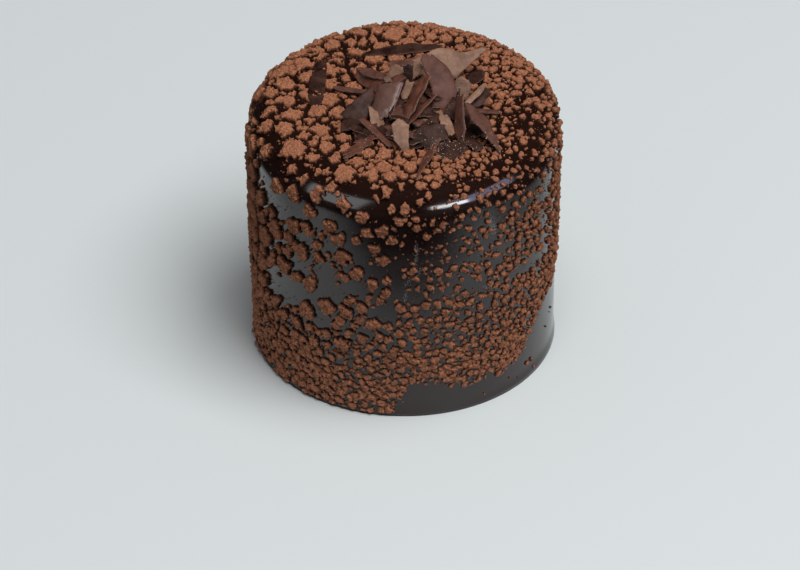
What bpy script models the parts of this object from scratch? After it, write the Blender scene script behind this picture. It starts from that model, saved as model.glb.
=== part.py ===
# Individual round chocolate mousse cake: a glazed drum dusted with clumped cocoa,
# with a heap of chocolate shavings and four stray flakes lying on its top.
# Sizes are in millimetres and become metres where a mesh is made.
# +Z is up, -Y is the front, and the origin is the middle of the base.

import math
from collections import namedtuple

import bmesh
import bpy
import numpy as np
from mathutils import Vector

MM = 0.001

# Cake body
HEIGHT = 71.0
SHOULDER_RADIUS = 39.8
BASE_RADIUS = 38.4
RIM_FILLET = 8.0
FOOT_BEVEL = 0.8
TOP_SLOPE = 0.0125  # the top rises by this much for each millimetre to the right
BODY_SEGMENTS = 84
FILLET_STEPS = 5
SIDE_RINGS = 5

# Cocoa clumps
COCOA_SEED = 20
CANDIDATES = 160000
SIZE_SHARES = (0.4, 1.4)  # smallest and largest clump, as shares of the usual size there
PRESENT_SHARE = 1.6  # how much more often a clump is there than its place is full
ROW_SIZE = 5.5  # cocoa gathers in rows about this wide, which lie level
ROW_SQUASH = (1.0, 1.0, 2.2)
ROW_DEPTH = 0.3
CLUMP_GAP = 0.7
CLUMP_SIDES = 8
CLUMP_SPREAD = 8.6  # least distance between the clumps, other than islands, made as solids
CLUMP_PROUD_TOP = 0.6
CLUMP_PROUD_SIDE = 1.0
CLUMP_EDGE_SHARE = 0.7  # height of a clump's edge, as a share of its middle's
CLUMP_ROOT = 0.8
SMALLEST_CLUMP = 1.0
SMALLEST_REACH = 1.2
CLUMP_NEIGHBOURS = 9
CLUMP_TO_SHAVING = 4.5

# Heap of shavings
RESTING_GAP = 0.3
HEAP_CENTRE = (3.5, -4.5)
HEAP_RADII = (12.5, 14.0)
HEAP_CORE_HEIGHT = 5.0
HEAP_SEGMENTS = 20
HEAP_RINGS = 3
SHAVING_THICKNESS = 0.8
UNDER_LAYER_SEED = 4
UNDER_LAYER_COUNT = 7
UNDER_LAYER_FOOT = 1.6
UNDER_LAYER_TIPS = (5.5, 7.0)
UNDER_LAYER_WIDTHS = (4.5, 6.5)
PROPPED = ("tan_back", "long_right", "narrow_left", "low_right", "narrow_right",
           "triangle_left", "stick_left", "pentagon")
PROP_SHARE = 0.41
PROP_FOOT_HEIGHT = 2.4
PROP_WIDTH = 4.5
# Shavings that reach past the edge of the heap
OUTLYING = ("leaf_front", "flat_front", "long_right", "stick_low", "grey_right", "low_right",
            "tan_back", "stick_left", "grey_back", "dark_back", "red_low", "triangle_left")

FLAT_RADIUS = SHOULDER_RADIUS - RIM_FILLET
TAPER = math.atan((SHOULDER_RADIUS - BASE_RADIUS) / (HEIGHT - RIM_FILLET))
FILLET_RUN = RIM_FILLET * (math.pi / 2 + TAPER)
SIDE_RUN = (HEIGHT - RIM_FILLET * (1 + math.sin(TAPER))) / math.cos(TAPER)
WHOLE_RUN = FLAT_RADIUS + FILLET_RUN + SIDE_RUN

# One shaving: its foot and tip are x, y and the height over the top; width is at its
# middle, with the shares of it left at foot and tip; bow shifts the middle sideways;
# roll turns it about its length; curl and bend are arcs in degrees.
Shaving = namedtuple("Shaving", "foot tip width ends bow roll curl bend")

HEAP_SHAVINGS = {
    "tan_back": Shaving((2.4, 9.0, 6.0), (21.0, 14.3, 7.3), 9.5, (0.5, 0.1), 0.0, 38, 25, 10),
    "large_upright": Shaving((8.4, -7.3, 2.0), (6.6, 5.0, 12.0), 7.0, (0.4, 0.45), -2.3, 0, 20, 15),
    "gloss_left": Shaving((-6.4, -10.0, 3.2), (-4.2, -2.6, 8.8), 8.4, (0.6, 0.9), 0.0, -20, 75, 10),
    "tan_left": Shaving((-6.1, -12.7, 1.5), (-8.9, -7.4, 5.0), 4.0, (0.7, 0.5), 0.0, 0, 15, 0),
    "stick_front": Shaving((-3.0, -18.7, 0.9), (-11.0, -10.8, 4.0), 2.6, (0.8, 0.9), 0.0, 0, 170, 0),
    "pentagon": Shaving((-0.6, -20.6, 0.8), (-1.2, -14.4, 6.0), 4.6, (0.3, 0.4), 0.0, 0, 10, 40),
    "long_curl": Shaving((0.1, -11.7, 3.0), (6.1, -1.0, 10.5), 5.0, (0.4, 0.7), 0.0, -50, 60, 20),
    "ridged": Shaving((2.3, -18.2, 2.5), (10.8, -16.0, 3.5), 6.2, (0.5, 0.6), 0.0, 35, 15, 10),
    "flat_front": Shaving((8.0, -20.6, 1.1), (15.2, -21.6, 0.9), 6.4, (0.5, 0.6), 0.0, 8, 0, 0),
    "leaf_front": Shaving((3.1, -33.4, 1.1), (9.0, -18.0, 2.4), 2.8, (0.2, 0.4), 0.0, -25, 30, 15),
    "narrow_left": Shaving((11.6, -16.6, 2.4), (10.2, -10.4, 4.6), 3.4, (0.5, 0.8), 0.0, 10, 30, 0),
    "narrow_right": Shaving((14.4, -18.0, 1.2), (14.2, -9.7, 10.0), 4.0, (0.5, 0.5), 0.0, -45, 15, 10),
    "long_right": Shaving((24.4, -22.2, 1.1), (16.0, -9.7, 7.6), 6.4, (0.2, 0.4), 0.0, 25, 40, 25),
    "low_right": Shaving((14.2, -14.4, 1.8), (19.6, -21.4, 1.0), 4.4, (0.7, 0.5), 0.0, -12, 10, 0),
    "folded_tan": Shaving((13.9, -2.9, 4.0), (15.4, -1.1, 9.0), 4.6, (0.8, 0.6), 0.0, 20, 60, 0),
    "grey_right": Shaving((15.6, -4.2, 3.2), (22.1, -1.3, 4.6), 4.4, (0.7, 0.4), 0.0, 25, 15, 0),
    "stick_right": Shaving((15.6, -5.9, 4.6), (20.7, -0.8, 7.0), 2.4, (0.8, 0.7), 0.0, 0, 150, 0),
    "stick_low": Shaving((15.4, -4.8, 2.4), (24.2, -5.6, 1.4), 2.2, (0.9, 0.6), 0.0, 0, 140, 0),
    "triangle_left": Shaving((-14.0, -9.0, 2.2), (-8.0, -2.2, 7.5), 7.6, (0.9, 0.12), 0.0, 25, 10, 10),
    "stick_left": Shaving((-8.6, 2.4, 2.6), (-18.0, 6.2, 1.4), 2.2, (0.9, 0.5), 0.0, 0, 140, 0),
    "grey_back": Shaving((-4.0, 5.6, 4.4), (-12.3, 11.4, 3.6), 3.6, (0.8, 0.2), 0.0, 0, 20, 0),
    "dark_back": Shaving((-5.0, 3.8, 3.0), (-12.6, 10.4, 2.4), 4.6, (0.8, 0.4), 0.0, -40, 10, 0),
    "tan_top": Shaving((-3.4, 2.4, 5.2), (-1.2, 5.5, 8.5), 4.4, (1.0, 0.9), 0.0, 0, 15, 20),
    "tan_ridge": Shaving((0.2, 2.6, 6.2), (4.3, 4.8, 9.0), 3.2, (0.8, 0.5), 0.0, 20, 20, 0),
    "thin_upright": Shaving((1.7, 0.9, 4.0), (0.9, 2.8, 10.5), 3.2, (0.2, 0.9), 0.0, -25, 20, 0),
    "grey_low": Shaving((-8.4, -14.0, 1.4), (-13.3, -11.9, 2.2), 3.8, (0.8, 0.6), 0.0, 8, 0, 0),
    "red_low": Shaving((-8.0, -15.6, 1.6), (-15.4, -22.6, 1.0), 2.4, (0.8, 0.4), 0.0, 8, 20, 0),
    "inner_tan": Shaving((-0.2, -11.6, 3.6), (0.9, -6.2, 4.6), 2.8, (0.6, 0.7), 0.0, 0, 20, 0),
}

STRAY_SHAVINGS = {
    "flake_back": Shaving((-10.0, 20.8, 0.9), (9.5, 23.3, 1.2), 3.8, (0.35, 0.5), 0.6, 0, 0, 5),
    "flake_left": Shaving((-22.9, -1.0, 0.9), (-21.6, 17.9, 1.0), 4.2, (0.4, 0.6), 0.0, 0, 10, 4),
    "flake_right": Shaving((16.6, 8.2, 1.0), (20.0, 12.8, 1.3), 4.2, (0.7, 0.5), 0.0, 0, 0, 0),
    "flake_behind": Shaving((-4.3, 16.2, 0.9), (3.6, 17.6, 1.2), 3.0, (0.6, 0.5), 0.0, 0, 10, 0),
}

# Cocoa islands that stand out: angle from the front in degrees, run over the top and down
# the side, and the size across and along the run.
ISLANDS = (
    (-71, 32.4, 9.5, 7.2), (-57, 34.1, 8.5, 10.5), (-28, 33.0, 8.0, 8.0), (-47, 21.7, 5.4, 6.2),
    (-137, 25.6, 5.0, 6.2), (-175, 30.2, 7.8, 7.6), (-99, 34.8, 4.6, 4.6), (-13, 21.8, 5.9, 6.8),
    (3, 27.8, 4.8, 6.6), (-45, 43.5, 5.0, 5.2), (-45, 53.9, 5.2, 6.4), (-29, 49.1, 4.1, 5.3),
    (-8, 47.3, 3.9, 5.6), (0, 40.5, 3.9, 4.0), (-64, 65.0, 7.5, 9.5), (-24, 58.6, 6.1, 5.4),
    (-24, 64.5, 5.8, 3.6), (-34, 60.5, 5.2, 4.2), (-34, 56.4, 5.4, 3.6), (-51, 68.7, 6.6, 7.0),
    (-8, 57.0, 4.2, 4.5), (-38, 70.4, 5.0, 5.8), (-30, 75.5, 6.2, 5.4), (-40, 79.7, 6.8, 6.2),
    (-21, 71.6, 4.1, 4.2), (-9, 70.3, 4.9, 3.4), (-12, 77.7, 4.6, 4.7), (-24, 86.0, 7.2, 5.2),
)
ISLAND_FILL = 0.8

# How much of the cocoa's fill is lost along the rim, by the angle from the front in degrees
RIM_ANGLES = (-110, -85, -55, 10, 40, 100, 115)
RIM_LOSSES = (0.0, 0.22, 0.38, 0.38, 0.22, 0.22, 0.0)
CRUST_GAIN = 0.85

# Height of the bare glaze above the foot, by the angle from the front in degrees
BARE_ANGLES = (-7, -2, 4, 10, 16, 25, 34, 42, 50, 60, 71, 95, 150)
BARE_HEIGHTS = (-3, 5, 10.5, 10.5, 8.5, 6.5, 7.5, 7, 9, 15.5, 20, 27, 0)

# How full of cocoa the side is by height, and how much is lost where the cocoa is thin
SIDE_HEIGHTS = (5, 14, 26, 44, 58, 66)
SIDE_FILLS = (0.98, 0.84, 0.76, 0.74, 0.74, 0.76)
THIN_LOSSES = (0.0, 0.02, 0.22, 0.34, 0.44, 0.46)
THIN_ANGLES = (-140, -75, -50, -15, 20, 45, 70, 95, 140)
THIN_SHARES = (0.2, 0.4, 0.9, 0.95, 0.75, 0.65, 0.65, 0.4, 0.2)


def clear_scene():
    for obj in list(bpy.data.objects):
        bpy.data.objects.remove(obj, do_unlink=True)
    for mesh in list(bpy.data.meshes):
        bpy.data.meshes.remove(mesh)


def principled(name, colour, roughness):
    """A material of one colour (linear RGB) and roughness."""
    material = bpy.data.materials.new(name)
    material.use_nodes = True
    shader = material.node_tree.nodes["Principled BSDF"]
    shader.inputs["Base Color"].default_value = (*colour, 1.0)
    shader.inputs["Roughness"].default_value = roughness
    shader.inputs["Metallic"].default_value = 0.0
    return material


def object_from(name, vertices, faces, collection):
    """An object whose mesh is given in millimetres, with its faces turned outwards."""
    mesh = bpy.data.meshes.new(name)
    mesh.from_pydata([tuple(c * MM for c in v) for v in vertices], [], faces)
    shape = bmesh.new()
    shape.from_mesh(mesh)
    bmesh.ops.recalc_face_normals(shape, faces=shape.faces)
    shape.to_mesh(mesh)
    shape.free()
    obj = bpy.data.objects.new(name, mesh)
    collection.objects.link(obj)
    return obj


def fuse(target, collection):
    """Joins a collection's objects to target in one union, then removes them."""
    union = target.modifiers.new("Fuse", "BOOLEAN")
    union.operation = "UNION"
    union.operand_type = "COLLECTION"
    union.solver = "MANIFOLD"
    union.collection = collection
    bpy.context.view_layer.update()
    fused = bpy.data.meshes.new_from_object(
        target.evaluated_get(bpy.context.evaluated_depsgraph_get())
    )
    target.modifiers.remove(union)
    plain = target.data
    target.data = fused
    bpy.data.meshes.remove(plain)
    for obj in list(collection.objects):
        bpy.data.objects.remove(obj, do_unlink=True)
    bpy.data.collections.remove(collection)


def tidy_mesh(obj, weld=0.0005):
    """Welds stray points, splits faces into triangles and drops loose scraps."""
    shape = bmesh.new()
    shape.from_mesh(obj.data)
    bmesh.ops.remove_doubles(shape, verts=shape.verts, dist=weld * MM)
    bmesh.ops.dissolve_degenerate(shape, edges=shape.edges, dist=weld * MM)
    bmesh.ops.triangulate(shape, faces=shape.faces)
    parts = connected_parts(shape)
    largest = max(parts, key=len)
    scraps = [v for part in parts if part is not largest for v in part]
    bmesh.ops.delete(shape, geom=scraps, context="VERTS")
    shape.to_mesh(obj.data)
    shape.free()


def connected_parts(shape):
    """The vertices of each part of a mesh that hangs together."""
    unseen = set(shape.verts)
    parts = []
    while unseen:
        front = [unseen.pop()]
        part = list(front)
        while front:
            vertex = front.pop()
            for edge in vertex.link_edges:
                other = edge.other_vert(vertex)
                if other in unseen:
                    unseen.remove(other)
                    front.append(other)
                    part.append(other)
        parts.append(part)
    return parts


def lattice_value(cell, seed):
    """A random number from -1 to 1 for each whole-numbered cell."""
    mixed = cell[:, 0] * 73856093 ^ cell[:, 1] * 19349663 ^ cell[:, 2] * 83492791 ^ seed * 40503
    mixed = (mixed ^ (mixed >> 13)) * 1274126177
    mixed = (mixed ^ (mixed >> 16)) & 0xFFFF
    return mixed / 32767.5 - 1.0


def noise(points, size, seed, octaves=1):
    """Smooth noise from -1 to 1 whose bumps are about size millimetres wide."""
    total = np.zeros(len(points))
    for octave in range(octaves):
        scaled = points * (2**octave / size)
        cell = np.floor(scaled).astype(np.int64)
        part = scaled - cell
        part = part * part * (3.0 - 2.0 * part)
        value = np.zeros(len(points))
        for corner in np.ndindex(2, 2, 2):
            share = np.prod(np.where(corner, part, 1.0 - part), axis=1)
            value += share * lattice_value(cell + np.array(corner), seed + 7 * octave)
        total += value / 2**octave
    return total


def smoothstep(value, low, high):
    """0 below low, 1 above high and a soft rise between them."""
    t = np.clip((value - low) / (high - low), 0.0, 1.0)
    return t * t * (3.0 - 2.0 * t)


def surface(angle, run):
    """Points and normals of the glaze, by the angle from the front (towards +X) and
    the run outwards over the top and down the side."""
    arc = np.clip((run - FLAT_RADIUS) / RIM_FILLET, 0.0, math.pi / 2 + TAPER)
    down = np.clip(run - FLAT_RADIUS - FILLET_RUN, 0.0, None)
    radius = np.minimum(run, FLAT_RADIUS) + RIM_FILLET * np.sin(arc) - down * math.sin(TAPER)
    height = HEIGHT - RIM_FILLET * (1.0 - np.cos(arc)) - down * math.cos(TAPER)
    x = radius * np.sin(angle)
    y = -radius * np.cos(angle)
    points = np.stack([x, y, height * (1.0 + TOP_SLOPE * x / HEIGHT)], axis=-1)
    normals = np.stack([np.sin(arc) * np.sin(angle), -np.sin(arc) * np.cos(angle), np.cos(arc)], -1)
    return points, normals


def band(value, low, high, soft):
    """1 between low and high, falling softly to 0 outside."""
    return smoothstep(value, low - soft, low + soft) * (1 - smoothstep(value, high - soft, high + soft))


def cocoa_spacing(points, angle):
    """Typical distance between clumps: coarse on the left, fine on the right and low down."""
    degrees = np.degrees(angle)
    x, y, z = points.T
    right = smoothstep(degrees, -42, 16) * (1 - smoothstep(degrees, 140, 178))
    right = np.maximum(right, 1 - smoothstep(degrees, -180, -150))
    low = 1 - smoothstep(z, 8, 42)
    side = (4.5 - 3.0 * low) * (1 - right) + (1.8 - 0.5 * low) * right
    top = 3.9 - 1.8 * smoothstep(x, -14, 18) - 0.6 * (1 - smoothstep(y, -26, -6))
    on_side = smoothstep(HEIGHT - z, 1.5, 9.0)
    return top * (1 - on_side) + side * on_side


def cocoa_fill(points, angle):
    """How full of cocoa a place is: 1 leaves only cracks, 0 leaves bare glaze."""
    degrees = np.degrees(angle)
    x, y, z = points.T
    radius = np.hypot(x, y)
    side = np.interp(z, SIDE_HEIGHTS, SIDE_FILLS)
    side -= np.interp(degrees, THIN_ANGLES, THIN_SHARES) * np.interp(z, SIDE_HEIGHTS, THIN_LOSSES)
    back = smoothstep(y, 8, 26)
    top = 0.74 + 0.05 * back
    bare_rim = smoothstep(radius, 32, 37) * np.interp(degrees, RIM_ANGLES, RIM_LOSSES) * (1 - back)
    bare_right = 0.22 * smoothstep(x, 18, 30) * (1 - smoothstep(y, -2, 14))
    top = top - np.maximum(bare_rim, bare_right)
    crust = band(degrees, -6, 48, 8) * band(z, 11, 21, 4)
    side = side + CRUST_GAIN * crust * (1 - side)
    on_side = smoothstep(HEIGHT - z, 1.5, 9.0)
    above_band = z - np.interp(degrees, BARE_ANGLES, BARE_HEIGHTS)
    return (top * (1 - on_side) + side * on_side) * smoothstep(above_band, -2.0, 2.8)


Clumps = namedtuple("Clumps", "points normals spacing fill island present lie stretch")


def cap_share(fill):
    """A clump's reach from its seed, as a share of its spacing."""
    return 0.20 + 0.52 * fill


def scatter_clumps():
    """Seeds of the cocoa clumps: the islands, then the others from the largest down."""
    draw = np.random.default_rng(COCOA_SEED)
    angle = draw.uniform(-math.pi, math.pi, CANDIDATES)
    run = draw.uniform(0.0, WHOLE_RUN, CANDIDATES)
    points, _ = surface(angle, run)
    area_share = np.hypot(points[:, 0], points[:, 1]) / SHOULDER_RADIUS
    kept = draw.uniform(0.0, 1.0, CANDIDATES) < area_share
    smallest, largest = SIZE_SHARES
    size_share = smallest + (largest - smallest) * draw.uniform(0.0, 1.0, CANDIDATES) ** 2.0
    spacing = cocoa_spacing(points, angle) * size_share
    order = np.argsort(-spacing, kind="stable")
    order = order[kept[order]]
    islands = np.array(ISLANDS)
    across, along = islands[:, 2], islands[:, 3]
    narrow, wide = np.minimum(across, along), np.maximum(across, along)
    angle = np.concatenate([np.radians(islands[:, 0]), angle[order]])
    run = np.concatenate([islands[:, 1], run[order]])
    spacing = np.concatenate([narrow / 2 / cap_share(ISLAND_FILL), spacing[order]])
    points, normals = surface(angle, run)
    chosen = spread(points, spacing)
    points, normals, angle, spacing = points[chosen], normals[chosen], angle[chosen], spacing[chosen]
    island = chosen < len(islands)
    own_island = chosen[island]
    fill = cocoa_fill(points, angle)
    fill[island] = ISLAND_FILL
    rows = noise(points * ROW_SQUASH, ROW_SIZE, 17)
    right = band(np.degrees(angle), 0, 120, 25) * smoothstep(HEIGHT - points[:, 2], 4, 10)
    patchy = fill + ROW_DEPTH * rows * np.maximum(1 - fill, 0.55 * right)
    present = island | (draw.uniform(0.0, 1.0, len(points)) < PRESENT_SHARE * patchy)
    level = np.stack([np.cos(angle), np.sin(angle), np.zeros(len(angle))], axis=-1)
    rising = np.cross(normals, level)
    flat = 0.8 * (1 - smoothstep(points[:, 2], 14, 40))
    lie_angle = draw.uniform(-1.0, 1.0, len(points)) * (1 - flat) * math.pi / 2
    lie_angle[island] = np.where(across >= along, 0.0, math.pi / 2)[own_island]
    stretch = draw.uniform(0.0, 0.5, len(points)) + 0.35 * flat
    stretch[island] = (1 - (narrow / wide) ** 2)[own_island]
    lie = level * np.cos(lie_angle)[:, None] + rising * np.sin(lie_angle)[:, None]
    return Clumps(points, normals, spacing, fill, island, present, lie, stretch)


def spread(points, spacing):
    """Indices of points kept so that no two are nearer than the mean of their spacings."""
    widest = spacing.max()
    cells = np.floor(points / widest).astype(np.int64).tolist()
    taken = {}
    chosen = []
    for index, (point, room, (i, j, k)) in enumerate(zip(points.tolist(), spacing.tolist(), cells)):
        free = True
        for cell in ((i + a, j + b, k + c) for a in (0, -1, 1) for b in (0, -1, 1) for c in (0, -1, 1)):
            for other, other_room in taken.get(cell, ()):
                if math.dist(point, other) < (room + other_room) / 2:
                    free = False
                    break
            if not free:
                break
        if free:
            taken.setdefault((i, j, k), []).append((point, room))
            chosen.append(index)
    return np.array(chosen)


def under_shavings(point):
    """Whether the heap or a stray flake covers a place on the top."""
    if point[2] < HEIGHT - RIM_FILLET:
        return False
    across = (point[0] - HEAP_CENTRE[0]) / (HEAP_RADII[0] + CLUMP_TO_SHAVING)
    deep = (point[1] - HEAP_CENTRE[1]) / (HEAP_RADII[1] + CLUMP_TO_SHAVING)
    if across**2 + deep**2 < 1.0:
        return True
    place = Vector(point[:2])
    flakes = list(STRAY_SHAVINGS.values()) + [HEAP_SHAVINGS[name] for name in OUTLYING]
    for flake in flakes:
        foot, tip = Vector(flake.foot[:2]), Vector(flake.tip[:2])
        share = (place - foot).dot(tip - foot) / (tip - foot).length_squared
        nearest = foot.lerp(tip, min(max(share, 0.0), 1.0))
        if (place - nearest).length < flake.width / 2 + CLUMP_TO_SHAVING:
            return True
    return False


def solid_clumps(clumps):
    """Indices of the clumps made as solids: the islands and the largest of the others."""
    chosen = []
    for index in np.flatnonzero(clumps.present):
        point, spacing = clumps.points[index], clumps.spacing[index]
        reach = spacing * cap_share(clumps.fill[index])
        near_foot = point[2] < FOOT_BEVEL + reach
        if reach < SMALLEST_CLUMP or near_foot or under_shavings(point):
            continue
        gaps = np.linalg.norm(clumps.points[chosen] - point, axis=1)
        if clumps.island[index] or not chosen or gaps.min() > CLUMP_SPREAD:
            chosen.append(index)
    return chosen


def clump_prism(clumps, index):
    """A low prism over the clump's own cell between its neighbours, rooted in the glaze."""
    centre, normal = Vector(clumps.points[index]), Vector(clumps.normals[index])
    sideways = Vector(clumps.lie[index])
    upward = normal.cross(sideways)
    offsets = clumps.points - clumps.points[index]
    distance = np.linalg.norm(offsets, axis=1)
    near = np.argsort(distance)[1 : CLUMP_NEIGHBOURS + 1]
    proud = CLUMP_PROUD_TOP if normal.z > 0.7 else CLUMP_PROUD_SIDE
    cap = clumps.spacing[index] * cap_share(clumps.fill[index])
    outline = []
    for side in range(CLUMP_SIDES):
        turn = 2 * math.pi * (side + 0.35 * math.sin(3.1 * side + index)) / CLUMP_SIDES
        ray = sideways * math.cos(turn) + upward * math.sin(turn)
        uneven = 1.0 + 0.12 * math.sin(2.3 * side + 1.7 * index)
        reach = cap * uneven / math.sqrt(1.0 - clumps.stretch[index] * math.cos(turn) ** 2)
        for other in near:
            towards = ray.dot(Vector(offsets[other])) / distance[other]
            if towards > 0.2:
                reach = min(reach, (distance[other] - CLUMP_GAP) / 2 / towards)
        outline.append(centre + ray * max(reach, SMALLEST_REACH))
    upper = [onto_glaze(corner, proud * CLUMP_EDGE_SHARE) for corner in outline]
    lower = [onto_glaze(corner, -CLUMP_ROOT) for corner in outline]
    vertices = [onto_glaze(centre, proud)] + upper + lower
    faces = [list(range(2 * CLUMP_SIDES, CLUMP_SIDES, -1))]
    for side in range(CLUMP_SIDES):
        following = (side + 1) % CLUMP_SIDES
        faces.append((0, 1 + side, 1 + following))
        faces.append((1 + side, 1 + CLUMP_SIDES + side, 1 + CLUMP_SIDES + following, 1 + following))
    return vertices, faces


def onto_glaze(point, proud):
    """The place straight over (or under) a point near the glaze, that far from it."""
    angle = math.atan2(point.x, -point.y)
    radius = math.hypot(point.x, point.y)
    level = point.z / (1.0 + TOP_SLOPE * point.x / HEIGHT)
    out, up = radius - FLAT_RADIUS, level - (HEIGHT - RIM_FILLET)
    if out <= 0.0:
        run = radius
    elif up >= 0.0:
        run = FLAT_RADIUS + RIM_FILLET * math.atan2(out, up)
    else:
        run = FLAT_RADIUS + FILLET_RUN - RIM_FILLET * TAPER - up
    places, normals = surface(np.array([angle]), np.array([run]))
    return Vector(places[0] + proud * normals[0])


def make_cake():
    """The glazed drum with its largest cocoa clumps fused on."""
    fillet = [FLAT_RADIUS + FILLET_RUN * step / FILLET_STEPS for step in range(FILLET_STEPS + 1)]
    side_start, side_end = FLAT_RADIUS + FILLET_RUN, WHOLE_RUN - FOOT_BEVEL
    side = [side_start + (side_end - side_start) * ring / SIDE_RINGS for ring in range(1, SIDE_RINGS + 1)]
    angles = np.linspace(0.0, 2 * math.pi, BODY_SEGMENTS, endpoint=False)
    vertices = []
    for run in fillet + side:
        points, _ = surface(angles, np.full(BODY_SEGMENTS, run))
        vertices.extend(points)
    foot_radius = BASE_RADIUS - FOOT_BEVEL
    vertices.extend((foot_radius * math.sin(a), -foot_radius * math.cos(a), 0.0) for a in angles)
    rings = len(fillet) + len(side) + 1
    rim = list(range(BODY_SEGMENTS))
    base = [(rings - 1) * BODY_SEGMENTS + segment for segment in reversed(rim)]
    faces = [rim, base]
    for ring in range(rings - 1):
        for segment in range(BODY_SEGMENTS):
            following = (segment + 1) % BODY_SEGMENTS
            upper, lower = ring * BODY_SEGMENTS, (ring + 1) * BODY_SEGMENTS
            faces.append((upper + segment, lower + segment, lower + following, upper + following))
    cake = object_from("cake", vertices, faces, bpy.context.scene.collection)
    clumps = scatter_clumps()
    prisms = bpy.data.collections.new("prisms")
    bpy.context.scene.collection.children.link(prisms)
    for index in solid_clumps(clumps):
        object_from(f"clump_{index}", *clump_prism(clumps, index), prisms)
    fuse(cake, prisms)
    tidy_mesh(cake)
    cake.data.materials.append(principled("chocolate_glaze", (0.030, 0.014, 0.010), 0.12))


def shaving_mesh(shaving, along=4, across=2):
    """A thin curved flake, with both faces split alike and a rim between them."""
    foot = Vector(over_top(shaving.foot))
    tip = Vector(over_top(shaving.tip))
    length = (tip - foot).length
    ahead = (tip - foot).normalized()
    flat_side = Vector((0.0, 0.0, 1.0)).cross(ahead).normalized()
    flat_up = ahead.cross(flat_side)
    roll = math.radians(shaving.roll)
    side = flat_side * math.cos(roll) + flat_up * math.sin(roll)
    up = flat_up * math.cos(roll) - flat_side * math.sin(roll)
    curl = math.radians(max(shaving.curl, 1.0))
    curl_radius = shaving.width / curl
    bulge = length * math.radians(shaving.bend) / 8
    faces_up, faces_down = [], []
    for row in range(along + 1):
        u = row / along
        foot_share, tip_share = shaving.ends
        end_share = foot_share if u < 0.5 else tip_share
        share = end_share + (1.0 - end_share) * math.sin(math.pi * u) ** 0.8
        spine = foot.lerp(tip, u) + side * shaving.bow * math.sin(math.pi * u)
        spine = spine + up * bulge * 4 * u * (1 - u)
        for column in range(across + 1):
            turn = curl * (column / across - 0.5) * share
            outward = up * math.cos(turn) + side * math.sin(turn)
            middle = spine + side * curl_radius * math.sin(turn)
            middle = middle - up * curl_radius * (1.0 - math.cos(turn))
            faces_up.append(middle + outward * SHAVING_THICKNESS / 2)
            faces_down.append(middle - outward * SHAVING_THICKNESS / 2)
    vertices = faces_up + faces_down
    under = len(faces_up)
    width = across + 1
    faces = []
    for row in range(along):
        for column in range(across):
            a, b = row * width + column, (row + 1) * width + column
            for triangle in ((a, b, b + 1), (a, b + 1, a + 1)):
                faces.append(triangle)
                faces.append(tuple(under + corner for corner in reversed(triangle)))
    rim = [row * width for row in range(along + 1)]
    rim += [along * width + column for column in range(1, width)]
    rim += [row * width + across for row in range(along - 1, -1, -1)]
    rim += [column for column in range(across - 1, 0, -1)]
    for here, after in zip(rim, rim[1:] + rim[:1]):
        faces.append((here, under + here, under + after))
        faces.append((here, under + after, after))
    return vertices, faces


def over_top(place):
    """A place given by x, y and its height over the sloping top."""
    x, y, lift = place
    return x, y, HEIGHT + TOP_SLOPE * x + lift


def heap_core():
    """The packed middle of the heap: a low dome with a flat underside."""
    vertices = []
    for ring in range(HEAP_RINGS + 1):
        share = 1.0 - ring / (HEAP_RINGS + 0.6)
        rise = RESTING_GAP + 0.5 + HEAP_CORE_HEIGHT * (1.0 - share**2)
        for segment in range(HEAP_SEGMENTS):
            turn = 2 * math.pi * segment / HEAP_SEGMENTS
            ragged = share * (1.0 + 0.07 * math.sin(3 * turn + 1.0 + ring))
            x = HEAP_CENTRE[0] + HEAP_RADII[0] * ragged * math.cos(turn)
            y = HEAP_CENTRE[1] + HEAP_RADII[1] * ragged * math.sin(turn)
            vertices.append(over_top((x, y, rise)))
    vertices += [over_top((x, y, RESTING_GAP)) for x, y, _ in vertices[:HEAP_SEGMENTS]]
    faces = [
        list(range(HEAP_RINGS * HEAP_SEGMENTS, (HEAP_RINGS + 1) * HEAP_SEGMENTS)),
        list(range((HEAP_RINGS + 1) * HEAP_SEGMENTS, (HEAP_RINGS + 2) * HEAP_SEGMENTS))[::-1],
    ]
    for lower, upper in [(ring, ring + 1) for ring in range(HEAP_RINGS)] + [(HEAP_RINGS + 1, 0)]:
        for segment in range(HEAP_SEGMENTS):
            following = (segment + 1) % HEAP_SEGMENTS
            a, b = lower * HEAP_SEGMENTS, upper * HEAP_SEGMENTS
            faces.append((a + segment, a + following, b + following, b + segment))
    return vertices, faces


def under_layer():
    """Flakes packed under the ones that stand out, which fill the heap's gaps."""
    draw = np.random.default_rng(UNDER_LAYER_SEED)
    flakes = []
    for number in range(UNDER_LAYER_COUNT):
        turn = 2 * math.pi * number / UNDER_LAYER_COUNT + draw.uniform(-0.2, 0.2)
        near, far = draw.uniform(0.2, 0.4), draw.uniform(1.0, 1.15)
        foot = (
            HEAP_CENTRE[0] + HEAP_RADII[0] * far * math.cos(turn),
            HEAP_CENTRE[1] + HEAP_RADII[1] * far * math.sin(turn),
            UNDER_LAYER_FOOT,
        )
        tip = (
            HEAP_CENTRE[0] + HEAP_RADII[0] * near * math.cos(turn + 0.5),
            HEAP_CENTRE[1] + HEAP_RADII[1] * near * math.sin(turn + 0.5),
            draw.uniform(*UNDER_LAYER_TIPS),
        )
        roll, curl = draw.uniform(-30, 30), draw.uniform(10, 40)
        width = draw.uniform(*UNDER_LAYER_WIDTHS)
        flakes.append(Shaving(foot, tip, width, (0.6, 0.5), 0.0, roll, curl, 10))
    return flakes


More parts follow.
